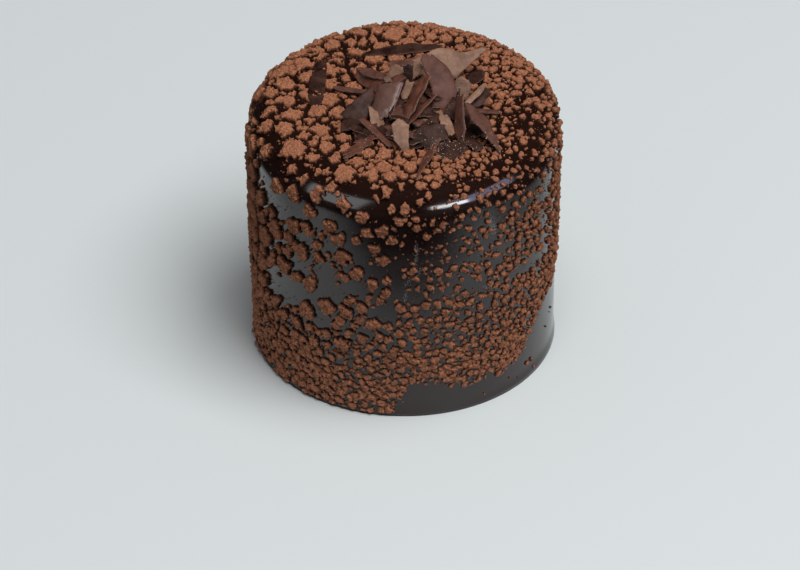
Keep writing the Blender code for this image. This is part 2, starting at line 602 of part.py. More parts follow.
def props():
    """Flakes that reach from inside the heap to the ones that lie furthest out on it."""
    flakes = []
    for name in PROPPED:
        shown = HEAP_SHAVINGS[name]
        reached = Vector(shown.foot).lerp(Vector(shown.tip), PROP_SHARE)
        inside = Vector((*HEAP_CENTRE, 0.0)).lerp(reached, 0.4)
        inside.z = PROP_FOOT_HEIGHT
        flakes.append(Shaving(tuple(inside), tuple(reached), PROP_WIDTH, (0.8, 0.5), 0.0, 0, 15, 0))
    return flakes


def make_heap():
    """The heap of shavings: a packed core with the flakes that show fused on."""
    heap = object_from("shavings", *heap_core(), bpy.context.scene.collection)
    flakes = bpy.data.collections.new("flakes")
    bpy.context.scene.collection.children.link(flakes)
    for name, shaving in HEAP_SHAVINGS.items():
        rolled = shaving.curl > 100
        flake = shaving_mesh(shaving, along=2 if rolled else 3, across=4 if rolled else 2)
        object_from(name, *flake, flakes)
    for number, shaving in enumerate(under_layer() + props()):
        object_from(f"hidden_{number}", *shaving_mesh(shaving, along=2, across=1), flakes)
    fuse(heap, flakes)
    tidy_mesh(heap)
    heap.data.materials.append(principled("shaved_chocolate", (0.110, 0.055, 0.038), 0.45))


def make_stray_flakes():
    for name, shaving in STRAY_SHAVINGS.items():
        flake = object_from(name, *shaving_mesh(shaving), bpy.context.scene.collection)
        flake.data.materials.append(principled(f"{name}_chocolate", (0.055, 0.026, 0.020), 0.4))


clear_scene()
make_cake()
make_heap()
make_stray_flakes()
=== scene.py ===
# Looks of the individual round chocolate cake: mirror glaze, clumped cocoa and shavings.
# Sizes are in millimetres and become metres where a mesh is made.
# +Z is up, -Y is the front; an angle on the cake is measured from the front towards +X.

import math
from collections import namedtuple

import bpy
import numpy as np
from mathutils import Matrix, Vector
from mathutils.kdtree import KDTree


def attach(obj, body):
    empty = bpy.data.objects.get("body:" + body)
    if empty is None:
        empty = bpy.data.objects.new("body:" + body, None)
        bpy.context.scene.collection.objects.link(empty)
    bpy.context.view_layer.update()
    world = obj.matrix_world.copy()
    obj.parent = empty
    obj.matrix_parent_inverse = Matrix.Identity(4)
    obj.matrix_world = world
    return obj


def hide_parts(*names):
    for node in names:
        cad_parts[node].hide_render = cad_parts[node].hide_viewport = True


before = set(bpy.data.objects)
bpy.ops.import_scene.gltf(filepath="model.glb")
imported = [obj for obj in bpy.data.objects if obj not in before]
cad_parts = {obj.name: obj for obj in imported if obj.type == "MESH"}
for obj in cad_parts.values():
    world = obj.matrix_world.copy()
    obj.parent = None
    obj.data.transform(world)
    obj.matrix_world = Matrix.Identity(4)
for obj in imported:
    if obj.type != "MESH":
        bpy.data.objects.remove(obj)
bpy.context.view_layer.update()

MM = 0.001

# Cake body
HEIGHT = 71.0
SHOULDER_RADIUS = 39.8
BASE_RADIUS = 38.4
RIM_FILLET = 8.0
TOP_SLOPE = 0.0125  # the top rises by this much for each millimetre to the right
FLAT_RADIUS = SHOULDER_RADIUS - RIM_FILLET
TAPER = math.atan((SHOULDER_RADIUS - BASE_RADIUS) / (HEIGHT - RIM_FILLET))
FILLET_RUN = RIM_FILLET * (math.pi / 2 + TAPER)
SIDE_RUN = (HEIGHT - RIM_FILLET * (1 + math.sin(TAPER))) / math.cos(TAPER)
WHOLE_RUN = FLAT_RADIUS + FILLET_RUN + SIDE_RUN

# Cocoa
COCOA_SEED = 20
CANDIDATES = 160000
SIZE_SHARES = (0.4, 1.4)  # smallest and largest clump, as shares of the usual size there
PRESENT_SHARE = 1.6  # how much more often a clump is there than its place is full
ROW_SIZE = 5.5  # cocoa gathers in rows about this wide, which lie level
ROW_SQUASH = (1.0, 1.0, 2.2)
ROW_DEPTH = 0.3
NEIGHBOURS = 7  # how many seeds are tried for each point
FAR = 9.0  # stands for an edge or crease that is nowhere near
CLUMP_ROOT = 0.15  # how deep in the glaze the edge of a clump lies
LOWEST_COCOA = 0.8
TOP_NORMAL = 0.75  # a normal that rises more than this belongs to the top
TOP_LEFT_GAPS = 0.6  # how much wider the gaps between clumps are on the left of the top

# Strips of the side where the glaze shows between islands: angle and height at each end,
# and half of the width
BARE_STRIPS = ((-66, 25.5, -22, 39.0, 2.4), (44, 37.0, 70, 36.0, 1.0))

GROUP_SEED = 21
GROUP_SPREAD = 2.2  # a cluster's seeds share a coarser cell this many spacings wide
GROUP_SQUASH = (1.0, 1.0, 2.0)
LONER_SHARE = 0.38  # share of the clumps that join no cluster
CRUST_FILL = 0.9  # from here up the clumps grow together to a crust

# Parts of the cocoa, each with the step of its mesh
COCOA_PARTS = {"top_front": 0.2, "top_back": 0.22, "front_left": 0.2, "front_right": 0.2, "back": 0.4}
PART_MARGIN = 6.0  # no clump reaches further than this into the next part
GLAZE_STEP = 1.0

# Crumbs of cocoa between the clumps
SPECK_SEED = 31
SPECK_COUNT = 9000

# Pale marks on the glaze: angle and height at each end, width and number of specks
MARK_SEED = 8
MM_PER_DEGREE = math.radians(SHOULDER_RADIUS)
MARKS = (
    (4.5, 56.0, 4.0, 48.0, 0.3, 130), (4.0, 48.0, 0.5, 42.5, 0.32, 110), (6.5, 48.0, 5.0, 44.5, 0.35, 90),
    (1.0, 41.0, 0.0, 37.0, 0.3, 50), (33.5, 58.5, 35.5, 54.0, 0.6, 260), (29.0, 49.5, 33.0, 47.0, 0.3, 90),
    (29.0, 44.0, 34.5, 43.0, 0.3, 70), (31.0, 37.5, 37.0, 36.0, 0.4, 120),
    (60.0, 58.0, 66.0, 50.0, 0.8, 150),
)

# Heap of shavings
HEAP_CENTRE = (3.5, -4.5)
HEAP_RADII = (12.5, 14.0)
FLAKE_THICKNESS = 0.42
EDGE_SHARE = 0.6
FLAKE_SEED = 12
CHATTER = 0.025  # height of the fine ridges that the blade leaves
COMB = 0.07  # height of the coarser ridges of some flakes
RIDGE_SPACING = 0.7
COMB_SPACING = 0.55
HIDDEN_SEED = 200
HIDDEN_COUNT = 120
# Tones of the hidden flakes, mostly dark: they paint the shade deep in the heap's gaps.
HIDDEN_SHADE_TONES = ("dark", "dark", "plum", "dark", "brown", "dark", "dark")
STRAY_SEED = 100
FLAKES = bpy.data.collections.new("flakes")

# Mesh steps along and across a flake; combed ones have more along, and sticks across
FLAKE_STEPS = (44, 12)
HIDDEN_STEPS = (16, 6)
COMBED_STEPS = 90
STICK_STEPS = 20
STICK_CURL = 100  # a flake that curls more than this is a stick

# Camera, from the photograph
CAMERA_ELEVATION = math.asin(0.6)
CAMERA_DISTANCE = 5.7
PICTURE_WIDTH = 800
PICTURE_CENTRE = (400.0, 285.0)
BASE_PIXEL = (404.5, 325.6)  # where the middle of the base falls in the picture
PIXELS_PER_MM = 3.8625

# Cocoa islands that stand out: angle from the front in degrees, run over the top and down
# the side, and the size across and along the run.
ISLANDS = (
    (-71, 32.4, 9.5, 7.2), (-57, 34.1, 8.5, 10.5), (-28, 33.0, 8.0, 8.0), (-47, 21.7, 5.4, 6.2),
    (-137, 25.6, 5.0, 6.2), (-175, 30.2, 7.8, 7.6), (-99, 34.8, 4.6, 4.6), (-13, 21.8, 5.9, 6.8),
    (3, 27.8, 4.8, 6.6), (-45, 43.5, 5.0, 5.2), (-45, 53.9, 5.2, 6.4), (-29, 49.1, 4.1, 5.3),
    (-8, 47.3, 3.9, 5.6), (0, 40.5, 3.9, 4.0), (-64, 65.0, 7.5, 9.5), (-24, 58.6, 6.1, 5.4),
    (-24, 64.5, 5.8, 3.6), (-34, 60.5, 5.2, 4.2), (-34, 56.4, 5.4, 3.6), (-51, 68.7, 6.6, 7.0),
    (-8, 57.0, 4.2, 4.5), (-38, 70.4, 5.0, 5.8), (-30, 75.5, 6.2, 5.4), (-40, 79.7, 6.8, 6.2),
    (-21, 71.6, 4.1, 4.2), (-9, 70.3, 4.9, 3.4), (-12, 77.7, 4.6, 4.7), (-24, 86.0, 7.2, 5.2),
)
ISLAND_FILL = 0.8

# How much of the cocoa's fill is lost along the rim, by the angle from the front in degrees
RIM_ANGLES = (-110, -85, -55, 10, 40, 100, 115)
RIM_LOSSES = (0.0, 0.22, 0.38, 0.38, 0.22, 0.22, 0.0)
CRUST_GAIN = 0.85

# Height of the bare glaze above the foot, by the angle from the front in degrees
BARE_ANGLES = (-7, -2, 4, 10, 16, 25, 34, 42, 50, 60, 71, 95, 150)
BARE_HEIGHTS = (-3, 5, 10.5, 10.5, 8.5, 6.5, 7.5, 7, 9, 15.5, 20, 27, 0)

# How full of cocoa the side is by height, and how much is lost where the cocoa is thin
SIDE_HEIGHTS = (5, 14, 26, 44, 58, 66)
SIDE_FILLS = (0.98, 0.84, 0.76, 0.74, 0.74, 0.76)
THIN_LOSSES = (0.0, 0.02, 0.22, 0.34, 0.44, 0.46)
THIN_ANGLES = (-140, -75, -50, -15, 20, 45, 70, 95, 140)
THIN_SHARES = (0.2, 0.4, 0.9, 0.95, 0.75, 0.65, 0.65, 0.4, 0.2)

# One shaving: its foot and tip are x, y and the height over the top; width is at its
# middle, with the shares of it left at foot and tip; roll turns it about its length;
# curl and bend are arcs in degrees; bow shifts the middle sideways.
Shaving = namedtuple("Shaving", "tone foot tip width ends roll curl bend bow", defaults=(0, 0.0))

# A shaving's tone is partly its own side, matte light-brown or smooth dark, and partly painted light: flakes
# that lie lit are tan, flakes in shade are dark.
HEAP_SHAVINGS = {
    "tan_back": Shaving("tan", (2.4, 9.0, 6.0), (21.0, 14.3, 7.3), 9.5, (0.5, 0.1), 38, 25, 10),
    "large_upright": Shaving("plum", (8.4, -7.3, 2.0), (6.6, 5.0, 12.0), 7.0, (0.4, 0.45), 0, 20, 15, -2.3),
    "gloss_left": Shaving("gloss", (-6.4, -10.0, 3.2), (-4.2, -2.6, 8.8), 8.4, (0.6, 0.9), -20, 75, 10),
    "tan_left": Shaving("tan", (-6.1, -12.7, 1.5), (-8.9, -7.4, 5.0), 4.0, (0.7, 0.5), 0, 15),
    "stick_front": Shaving("brown", (-3.0, -18.7, 0.9), (-11.0, -10.8, 4.0), 2.6, (0.8, 0.9), 0, 170),
    "pentagon": Shaving("tan", (-0.6, -20.6, 0.8), (-1.2, -14.4, 6.0), 4.6, (0.3, 0.4), 0, 10, 40),
    "long_curl": Shaving("brown", (0.1, -11.7, 3.0), (6.1, -1.0, 10.5), 5.0, (0.4, 0.7), -50, 60, 20),
    "ridged": Shaving("dark", (2.3, -18.2, 2.5), (10.8, -16.0, 3.5), 6.2, (0.5, 0.6), 35, 15, 10),
    "flat_front": Shaving("dark", (8.0, -20.6, 1.1), (15.2, -21.6, 0.9), 6.4, (0.5, 0.6), 8, 0),
    "leaf_front": Shaving("brown", (3.1, -33.4, 1.1), (9.0, -18.0, 2.4), 2.8, (0.2, 0.4), -25, 30, 15),
    "narrow_left": Shaving("tan", (11.6, -16.6, 2.4), (10.2, -10.4, 4.6), 3.4, (0.5, 0.8), 10, 30),
    "narrow_right": Shaving("brown", (14.4, -18.0, 1.2), (14.2, -9.7, 10.0), 4.0, (0.5, 0.5), -45, 15, 10),
    "long_right": Shaving("plum", (24.4, -22.2, 1.1), (16.0, -9.7, 7.6), 6.4, (0.2, 0.4), 25, 40, 25),
    "low_right": Shaving("dark", (14.2, -14.4, 1.8), (19.6, -21.4, 1.0), 4.4, (0.7, 0.5), -12, 10),
    "folded_tan": Shaving("tan", (13.9, -2.9, 4.0), (15.4, -1.1, 9.0), 4.6, (0.8, 0.6), 20, 60),
    "grey_right": Shaving("dark", (15.6, -4.2, 3.2), (22.1, -1.3, 4.6), 4.4, (0.7, 0.4), 25, 15),
    "stick_right": Shaving("tan", (15.6, -5.9, 4.6), (20.7, -0.8, 7.0), 2.4, (0.8, 0.7), 0, 150),
    "stick_low": Shaving("plum", (15.4, -4.8, 2.4), (24.2, -5.6, 1.4), 2.2, (0.9, 0.6), 0, 140),
    "triangle_left": Shaving("dark", (-14.0, -9.0, 2.2), (-8.0, -2.2, 7.5), 7.6, (0.9, 0.12), 25, 10, 10),
    "stick_left": Shaving("plum", (-8.6, 2.4, 2.6), (-18.0, 6.2, 1.4), 2.2, (0.9, 0.5), 0, 140),
    "grey_back": Shaving("plum", (-4.0, 5.6, 4.4), (-12.3, 11.4, 3.6), 3.6, (0.8, 0.2), 0, 20),
    "dark_back": Shaving("brown", (-5.0, 3.8, 3.0), (-12.6, 10.4, 2.4), 4.6, (0.8, 0.4), -40, 10),
    "tan_top": Shaving("tan", (-3.4, 2.4, 5.2), (-1.2, 5.5, 8.5), 4.4, (1.0, 0.9), 0, 15, 20),
    "tan_ridge": Shaving("tan", (0.2, 2.6, 6.2), (4.3, 4.8, 9.0), 3.2, (0.8, 0.5), 20, 20),
    "thin_upright": Shaving("dark", (1.7, 0.9, 4.0), (0.9, 2.8, 10.5), 3.2, (0.2, 0.9), -25, 20),
    "grey_low": Shaving("dark", (-8.4, -14.0, 1.4), (-13.3, -11.9, 2.2), 3.8, (0.8, 0.6), 8, 0),
    "red_low": Shaving("brown", (-8.0, -15.6, 1.6), (-15.4, -22.6, 1.0), 2.4, (0.8, 0.4), 8, 20),
    "inner_tan": Shaving("tan", (-0.2, -11.6, 3.6), (0.9, -6.2, 4.6), 2.8, (0.6, 0.7), 0, 20),
    "brown_lip": Shaving("brown", (-3.4, 1.6, 5.8), (0.4, 2.4, 7.6), 2.8, (0.8, 0.6), 25, 20),
    "strip_mid": Shaving("brown", (0.4, -13.6, 3.6), (8.3, -4.4, 6.5), 2.2, (0.5, 0.3), -25, 40, 10),
    "tan_mid": Shaving("tan", (-0.2, -3.2, 4.6), (1.4, 0.6, 7.4), 2.4, (0.7, 0.8), 0, 60),
    "fold_left": Shaving("dark", (11.6, -10.6, 3.6), (13.2, -5.2, 5.8), 3.2, (0.6, 0.5), 20, 25),
    "folded_dark": Shaving("dark", (13.0, -3.4, 3.4), (13.6, -0.4, 8.2), 2.6, (0.7, 0.7), -30, 60),
    "tan_chip": Shaving("tan", (10.4, -12.6, 2.9), (8.6, -7.6, 3.4), 2.4, (0.2, 0.8), 0, 10),
    "stick_mid": Shaving("tan", (2.6, -13.6, 2.9), (5.6, -11.2, 3.4), 1.2, (0.8, 0.7), 0, 120),
    "red_side": Shaving("brown", (-9.8, -18.6, 1.3), (-15.6, -24.0, 0.9), 1.8, (0.8, 0.3), 8, 20),
    "dark_low": Shaving("dark", (-10.6, -9.0, 1.2), (-5.2, -15.0, 2.0), 4.6, (0.6, 0.5), 10, 15),
    "brown_side": Shaving("brown", (-6.6, -15.0, 1.2), (-12.8, -17.4, 1.2), 2.6, (0.7, 0.4), 15, 20),
    "curl_layer": Shaving("brown", (-0.5, -11.8, 3.1), (5.3, -1.3, 10.4), 3.6, (0.4, 0.8), -30, 50, 20),
    "layer_tan": Shaving("tan", (-4.4, -9.2, 2.8), (-1.4, -2.2, 8.4), 1.6, (0.4, 0.8), -60, 30, 15),
    "layer_brown": Shaving("brown", (-3.6, -9.0, 2.6), (-0.6, -1.8, 7.8), 1.8, (0.4, 0.7), -62, 30, 15),
    "shade_right": Shaving("dark", (14.3, -12.4, 2.0), (16.6, -4.6, 3.4), 4.0, (0.7, 0.6), 20, 20),
    "shade_low": Shaving("dark", (17.0, -14.5, 1.0), (21.0, -8.0, 1.5), 4.4, (0.6, 0.6), 8, 15),
    "dark_edge": Shaving("dark", (-15.6, -12.0, 1.2), (-9.8, -5.6, 3.2), 4.2, (0.4, 0.7), 12, 20),
    "dark_foot": Shaving("dark", (-12.4, -16.2, 1.0), (-7.0, -12.4, 2.4), 3.0, (0.5, 0.7), 10, 15),
    "dark_mid": Shaving("dark", (4.2, -15.4, 2.4), (9.6, -10.2, 4.2), 3.6, (0.7, 0.6), 15, 20),
}
COMBED = ("ridged", "large_upright", "flat_front")

# Crystals on the heap: each zone lies right of an x and in front of a y, and has a count
CRYSTAL_SEED = 3
CRYSTAL_SCATTER = 0.12
CRYSTAL_ZONES = (
    (-math.inf, math.inf, 200), (-math.inf, -13.0, 300), (5.0, -18.0, 420), (9.0, math.inf, 160),
)

# Outlines of the flakes with a shape of their own: shares of half the width from foot to
# tip, on the right and the left of someone who walks from foot to tip.
OUTLINES = {
    "tan_back": (
        ((0, 0.6), (0.5, 1.25), (1, 0.06)),
        ((0, 0.3), (0.36, 0.62), (0.5, 0.45), (0.66, 0.04), (1, 0.08)),
    ),
    "large_upright": (
        ((0, 0.3), (0.2, 0.9), (0.38, 1.15), (0.6, 0.85), (0.85, 0.75), (1, 0.3)),
        ((0, 0.3), (0.3, 0.8), (0.7, 1.1), (0.88, 1.0), (1, 0.5)),
    ),
    "pentagon": (((0, 0.7), (0.8, 1.0), (1, 0.2)), ((0, 0.2), (0.3, 0.85), (0.8, 1.0), (1, 0.3))),
    "gloss_left": (((0, 0.45), (0.5, 0.85), (1, 1.0)), ((0, 0.3), (0.35, 1.0), (1, 0.8))),
    "triangle_left": (((0, 0.9), (0.3, 1.0), (1, 0.1)), ((0, 0.8), (1, 0.1))),
    "long_right": (((0, 0.1), (0.7, 1.0), (1, 0.3)), ((0, 0.1), (0.65, 1.0), (1, 0.3))),
    "thin_upright": (((0, 0.1), (1, 0.9)), ((0, 0.1), (1, 0.9))),
    "tan_left": (((0, 0.8), (0.5, 1.0), (1, 0.1)), ((0, 0.6), (0.4, 0.9), (1, 0.2))),
    "leaf_front": (((0, 0.15), (0.55, 1.0), (1, 0.3)), ((0, 0.15), (0.5, 1.0), (1, 0.4))),
    "flat_front": (
        ((0, 0.4), (0.25, 1.0), (0.8, 1.0), (1, 0.5)),
        ((0, 0.5), (0.3, 0.9), (0.85, 1.0), (1, 0.3)),
    ),
}

STRAY_SHAVINGS = {
    "flake_back": Shaving("dark", (-10.0, 20.8, 0.9), (9.5, 23.3, 1.2), 3.8, (0.35, 0.5), 0, 0, 5, 0.6),
    "flake_left": Shaving("dark", (-22.9, -1.0, 0.9), (-21.6, 17.9, 1.0), 4.2, (0.4, 0.6), 0, 10, 4),
    "flake_right": Shaving("dark", (16.6, 8.2, 1.0), (20.0, 12.8, 1.3), 4.2, (0.7, 0.5), 0, 0),
    "flake_behind": Shaving("plum", (-4.3, 16.2, 0.9), (3.6, 17.6, 1.2), 3.0, (0.6, 0.5), 0, 10),
}

# Chocolate and what looks like it: its name, dark and light colour, roughness, and for
# some the strength of its ridges and of its shine
CHOCOLATES = {
    # The tan and dark tones stand partly for the two sides of a shaving and partly for painted light: tan
    # for lit flakes, dark for shaded ones.
    "tan": ("tan_chocolate", (0.18, 0.092, 0.057), (0.35, 0.20, 0.132), 0.55),
    "brown": ("brown_chocolate", (0.085, 0.028, 0.017), (0.16, 0.060, 0.038), 0.36),
    "plum": ("plum_chocolate", (0.082, 0.034, 0.024), (0.16, 0.073, 0.055), 0.45, 0.35, 0.25),
    "dark": ("dark_chocolate", (0.020, 0.008, 0.006), (0.078, 0.036, 0.027), 0.42, 0.9, 0.22),
    # The glossy chocolate is painted lighter so that its colour carries part of the sheen of its highlight.
    "gloss": ("glossy_chocolate_painted_sheen", (0.13, 0.062, 0.047), (0.19, 0.10, 0.078), 0.3, 0.2, 1.0),
    # Torn edges are lighter partly in tone and partly as a painted highlight where the edges catch light.
    "rim": ("torn_edge_and_highlight", (0.18, 0.10, 0.068), (0.32, 0.18, 0.125), 0.6),
    "mark": ("pale_glaze_mark", (0.24, 0.24, 0.25), (0.42, 0.42, 0.44), 0.6, 0.1),
    # Pale crystals; their pale colour partly paints the sparkle of glints on the flakes.
    "crystal": ("pale_crystal_and_glint", (0.55, 0.53, 0.51), (0.8, 0.78, 0.76), 0.3, 0.1),
}


# Meshes

def add_object(name, data):
    added = bpy.data.objects.new(name, data)
    bpy.context.scene.collection.objects.link(added)
    return added


def mesh_piece(name, vertices, faces, material, smooth=True):
    """A mesh from millimetre points, riding on the cake."""
    mesh = bpy.data.meshes.new(name)
    mesh.from_pydata((vertices * MM).tolist(), [], faces)
    mesh.polygons.foreach_set("use_smooth", [smooth] * len(mesh.polygons))
    mesh.materials.append(material)
    piece = add_object(name, mesh)
    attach(piece, "root")
    return piece


def point_attribute(piece, name, values):
    layer = piece.data.attributes.new(name, "FLOAT", "POINT")
    layer.data.foreach_set("value", np.asarray(values, dtype=np.float32))


def grid_faces(grid):
    """Four-sided faces between the neighbours in a grid of point numbers."""
    corners = [grid[:-1, :-1], grid[1:, :-1], grid[1:, 1:], grid[:-1, 1:]]
    return np.stack(corners, axis=-1).reshape(-1, 4)


# Noise

def lattice_value(cell, seed):
    """A random number from -1 to 1 for each whole-numbered cell."""
    mixed = cell[:, 0] * 73856093 ^ cell[:, 1] * 19349663 ^ cell[:, 2] * 83492791 ^ seed * 40503
    mixed = (mixed ^ (mixed >> 13)) * 1274126177
    mixed = (mixed ^ (mixed >> 16)) & 0xFFFF
    return mixed / 32767.5 - 1.0


def noise(points, size, seed, octaves=1):
    """Smooth noise from -1 to 1 whose bumps are about size millimetres wide."""
    total = np.zeros(len(points))
    for octave in range(octaves):
        scaled = points * (2**octave / size)
        cell = np.floor(scaled).astype(np.int64)
        part = scaled - cell
        part = part * part * (3.0 - 2.0 * part)
        value = np.zeros(len(points))
        for corner in np.ndindex(2, 2, 2):
            share = np.prod(np.where(corner, part, 1.0 - part), axis=1)
            value += share * lattice_value(cell + np.array(corner), seed + 7 * octave)
        total += value / 2**octave
    return total


def smoothstep(value, low, high):
    """0 below low, 1 above high and a soft rise between them."""
    t = np.clip((value - low) / (high - low), 0.0, 1.0)
    return t * t * (3.0 - 2.0 * t)


# Surface of the glaze

def surface(angle, run):
    """Points and normals of the plain drum, by the angle from the front (towards +X) and
    the run outwards over the top and down the side."""
    arc = np.clip((run - FLAT_RADIUS) / RIM_FILLET, 0.0, math.pi / 2 + TAPER)
    down = np.clip(run - FLAT_RADIUS - FILLET_RUN, 0.0, None)
    radius = np.minimum(run, FLAT_RADIUS) + RIM_FILLET * np.sin(arc) - down * math.sin(TAPER)
    height = HEIGHT - RIM_FILLET * (1.0 - np.cos(arc)) - down * math.cos(TAPER)
    x = radius * np.sin(angle)
    y = -radius * np.cos(angle)
    points = np.stack([x, y, height * (1.0 + TOP_SLOPE * x / HEIGHT)], axis=-1)
    normals = np.stack([np.sin(arc) * np.sin(angle), -np.sin(arc) * np.cos(angle), np.cos(arc)], -1)
    return points, normals


def glaze_lift(points):
    """How far the poured glaze stands over the plain drum: slow waves and a thicker foot."""
    z = points[:, 2]
    waves = 0.16 * noise(points * (1.0, 1.0, 0.6), 17.0, 3) + 0.05 * noise(points, 6.0, 5)
    foot = 0.45 * np.exp(-((z / 1.6) ** 2))
    return waves * smoothstep(z, 0.0, 5.0) + foot


def skin(step):
    """A fine mesh over top and side: a square grid wrapped to a disc, then rings. Returns
    the angle and run of its points, its faces and the points of its foot."""
    count = int(round(2 * math.pi * SHOULDER_RADIUS / step / 4))
    line = np.linspace(-1.0, 1.0, count + 1)
    u, v = np.meshgrid(line, line, indexing="ij")
    wide = np.abs(u) > np.abs(v)
    reach = np.where(wide, u, v)
    safe = np.where(reach == 0.0, 1.0, reach)
    turn = np.where(wide, math.pi / 4 * v / safe, math.pi / 2 - math.pi / 4 * u / safe)
    x, y = reach * np.cos(turn), reach * np.sin(turn)
    disc_angle = np.arctan2(x, -y).ravel()
    disc_run = np.hypot(x, y).ravel() * FLAT_RADIUS
    index = np.arange((count + 1) ** 2).reshape(count + 1, count + 1)
    border = np.concatenate([index[-1, :-1], index[:0:-1, -1], index[0, :0:-1], index[:-1, 0]])
    rows = int(round((WHOLE_RUN - FLAT_RADIUS) / step))
    ring_runs = np.linspace(FLAT_RADIUS, WHOLE_RUN, rows + 1)[1:]
    ring_angle = np.tile(disc_angle[border], rows)
    ring_run = np.repeat(ring_runs, len(border))
    ring_index = len(disc_run) + np.arange(rows * len(border)).reshape(rows, len(border))
    rings = np.vstack([border[None, :], ring_index])
    closed_rings = np.hstack([rings, rings[:, :1]])
    angle = np.concatenate([disc_angle, ring_angle])
    run = np.concatenate([disc_run, ring_run])
    return angle, run, np.vstack([grid_faces(index), grid_faces(closed_rings)]), rings[-1]


def glazed(angle, run):
    """Points on the poured glaze and the drum's normals there."""
    points, normals = surface(angle, run)
    return points + normals * glaze_lift(points)[:, None], normals


# Cocoa clumps

def band(value, low, high, soft):
    """1 between low and high, falling softly to 0 outside."""
    return smoothstep(value, low - soft, low + soft) * (1 - smoothstep(value, high - soft, high + soft))


def cocoa_spacing(points, angle):
    """Typical distance between clumps: coarse on the left, fine on the right and low down."""
    degrees = np.degrees(angle)
    x, y, z = points.T
    right = smoothstep(degrees, -42, 16) * (1 - smoothstep(degrees, 140, 178))
    right = np.maximum(right, 1 - smoothstep(degrees, -180, -150))
    low = 1 - smoothstep(z, 8, 42)
    side = (4.5 - 3.0 * low) * (1 - right) + (1.8 - 0.5 * low) * right
    top = 3.9 - 1.8 * smoothstep(x, -14, 18) - 0.6 * (1 - smoothstep(y, -26, -6))
    on_side = smoothstep(HEIGHT - z, 1.5, 9.0)
    return top * (1 - on_side) + side * on_side


def cocoa_fill(points, angle):
    """How full of cocoa a place is: 1 leaves only cracks, 0 leaves bare glaze."""
    degrees = np.degrees(angle)
    x, y, z = points.T
    radius = np.hypot(x, y)
    side = np.interp(z, SIDE_HEIGHTS, SIDE_FILLS)
    side -= np.interp(degrees, THIN_ANGLES, THIN_SHARES) * np.interp(z, SIDE_HEIGHTS, THIN_LOSSES)
    back = smoothstep(y, 8, 26)
    top = 0.74 + 0.05 * back
    bare_rim = smoothstep(radius, 32, 37) * np.interp(degrees, RIM_ANGLES, RIM_LOSSES) * (1 - back)
    bare_right = 0.22 * smoothstep(x, 18, 30) * (1 - smoothstep(y, -2, 14))
    top = top - np.maximum(bare_rim, bare_right)
    crust = band(degrees, -6, 48, 8) * band(z, 11, 21, 4)
    side = side + CRUST_GAIN * crust * (1 - side)
    on_side = smoothstep(HEIGHT - z, 1.5, 9.0)
    above_band = z - np.interp(degrees, BARE_ANGLES, BARE_HEIGHTS)
    return (top * (1 - on_side) + side * on_side) * smoothstep(above_band, -2.0, 2.8)


Clumps = namedtuple("Clumps", "points normals spacing fill island present lie stretch")


def cap_share(fill):
    """A clump's reach from its seed, as a share of its spacing."""
    return 0.20 + 0.52 * fill


def scatter_clumps():
    """Seeds of the cocoa clumps: the islands, then the others from the largest down."""
    draw = np.random.default_rng(COCOA_SEED)
    angle = draw.uniform(-math.pi, math.pi, CANDIDATES)
    run = draw.uniform(0.0, WHOLE_RUN, CANDIDATES)
    points, _ = surface(angle, run)
    area_share = np.hypot(points[:, 0], points[:, 1]) / SHOULDER_RADIUS
    kept = draw.uniform(0.0, 1.0, CANDIDATES) < area_share
    smallest, largest = SIZE_SHARES
    size_share = smallest + (largest - smallest) * draw.uniform(0.0, 1.0, CANDIDATES) ** 2.0
    spacing = cocoa_spacing(points, angle) * size_share
    order = np.argsort(-spacing, kind="stable")
    order = order[kept[order]]
    islands = np.array(ISLANDS)
    across, along = islands[:, 2], islands[:, 3]
    narrow, wide = np.minimum(across, along), np.maximum(across, along)
    angle = np.concatenate([np.radians(islands[:, 0]), angle[order]])
    run = np.concatenate([islands[:, 1], run[order]])
    spacing = np.concatenate([narrow / 2 / cap_share(ISLAND_FILL), spacing[order]])
    points, normals = surface(angle, run)
    chosen = spread(points, spacing)
    points, normals, angle, spacing = points[chosen], normals[chosen], angle[chosen], spacing[chosen]
    island = chosen < len(islands)
    own_island = chosen[island]
    fill = cocoa_fill(points, angle)
    fill[island] = ISLAND_FILL
    rows = noise(points * ROW_SQUASH, ROW_SIZE, 17)
    right = band(np.degrees(angle), 0, 120, 25) * smoothstep(HEIGHT - points[:, 2], 4, 10)
    patchy = fill + ROW_DEPTH * rows * np.maximum(1 - fill, 0.55 * right)
    present = island | (draw.uniform(0.0, 1.0, len(points)) < PRESENT_SHARE * patchy)
    level = np.stack([np.cos(angle), np.sin(angle), np.zeros(len(angle))], axis=-1)
    rising = np.cross(normals, level)
    flat = 0.8 * (1 - smoothstep(points[:, 2], 14, 40))
    lie_angle = draw.uniform(-1.0, 1.0, len(points)) * (1 - flat) * math.pi / 2
    lie_angle[island] = np.where(across >= along, 0.0, math.pi / 2)[own_island]
    stretch = draw.uniform(0.0, 0.5, len(points)) + 0.35 * flat
    stretch[island] = (1 - (narrow / wide) ** 2)[own_island]
    lie = level * np.cos(lie_angle)[:, None] + rising * np.sin(lie_angle)[:, None]
    return Clumps(points, normals, spacing, fill, island, present, lie, stretch)


def spread(points, spacing):
    """Indices of points kept so that no two are nearer than the mean of their spacings."""
    widest = spacing.max()
    cells = np.floor(points / widest).astype(np.int64).tolist()
    taken = {}
    chosen = []
    for index, (point, room, (i, j, k)) in enumerate(zip(points.tolist(), spacing.tolist(), cells)):
        free = True
        for cell in ((i + a, j + b, k + c) for a in (0, -1, 1) for b in (0, -1, 1) for c in (0, -1, 1)):
            for other, other_room in taken.get(cell, ()):
                if math.dist(point, other) < (room + other_room) / 2:
                    free = False
                    break
            if not free:
                break
        if free:
            taken.setdefault((i, j, k), []).append((point, room))
            chosen.append(index)
    return np.array(chosen)


def seed_tree(points):
    tree = KDTree(len(points))
    for index, point in enumerate(points):
        tree.insert(point, index)
    tree.balance()
    return tree


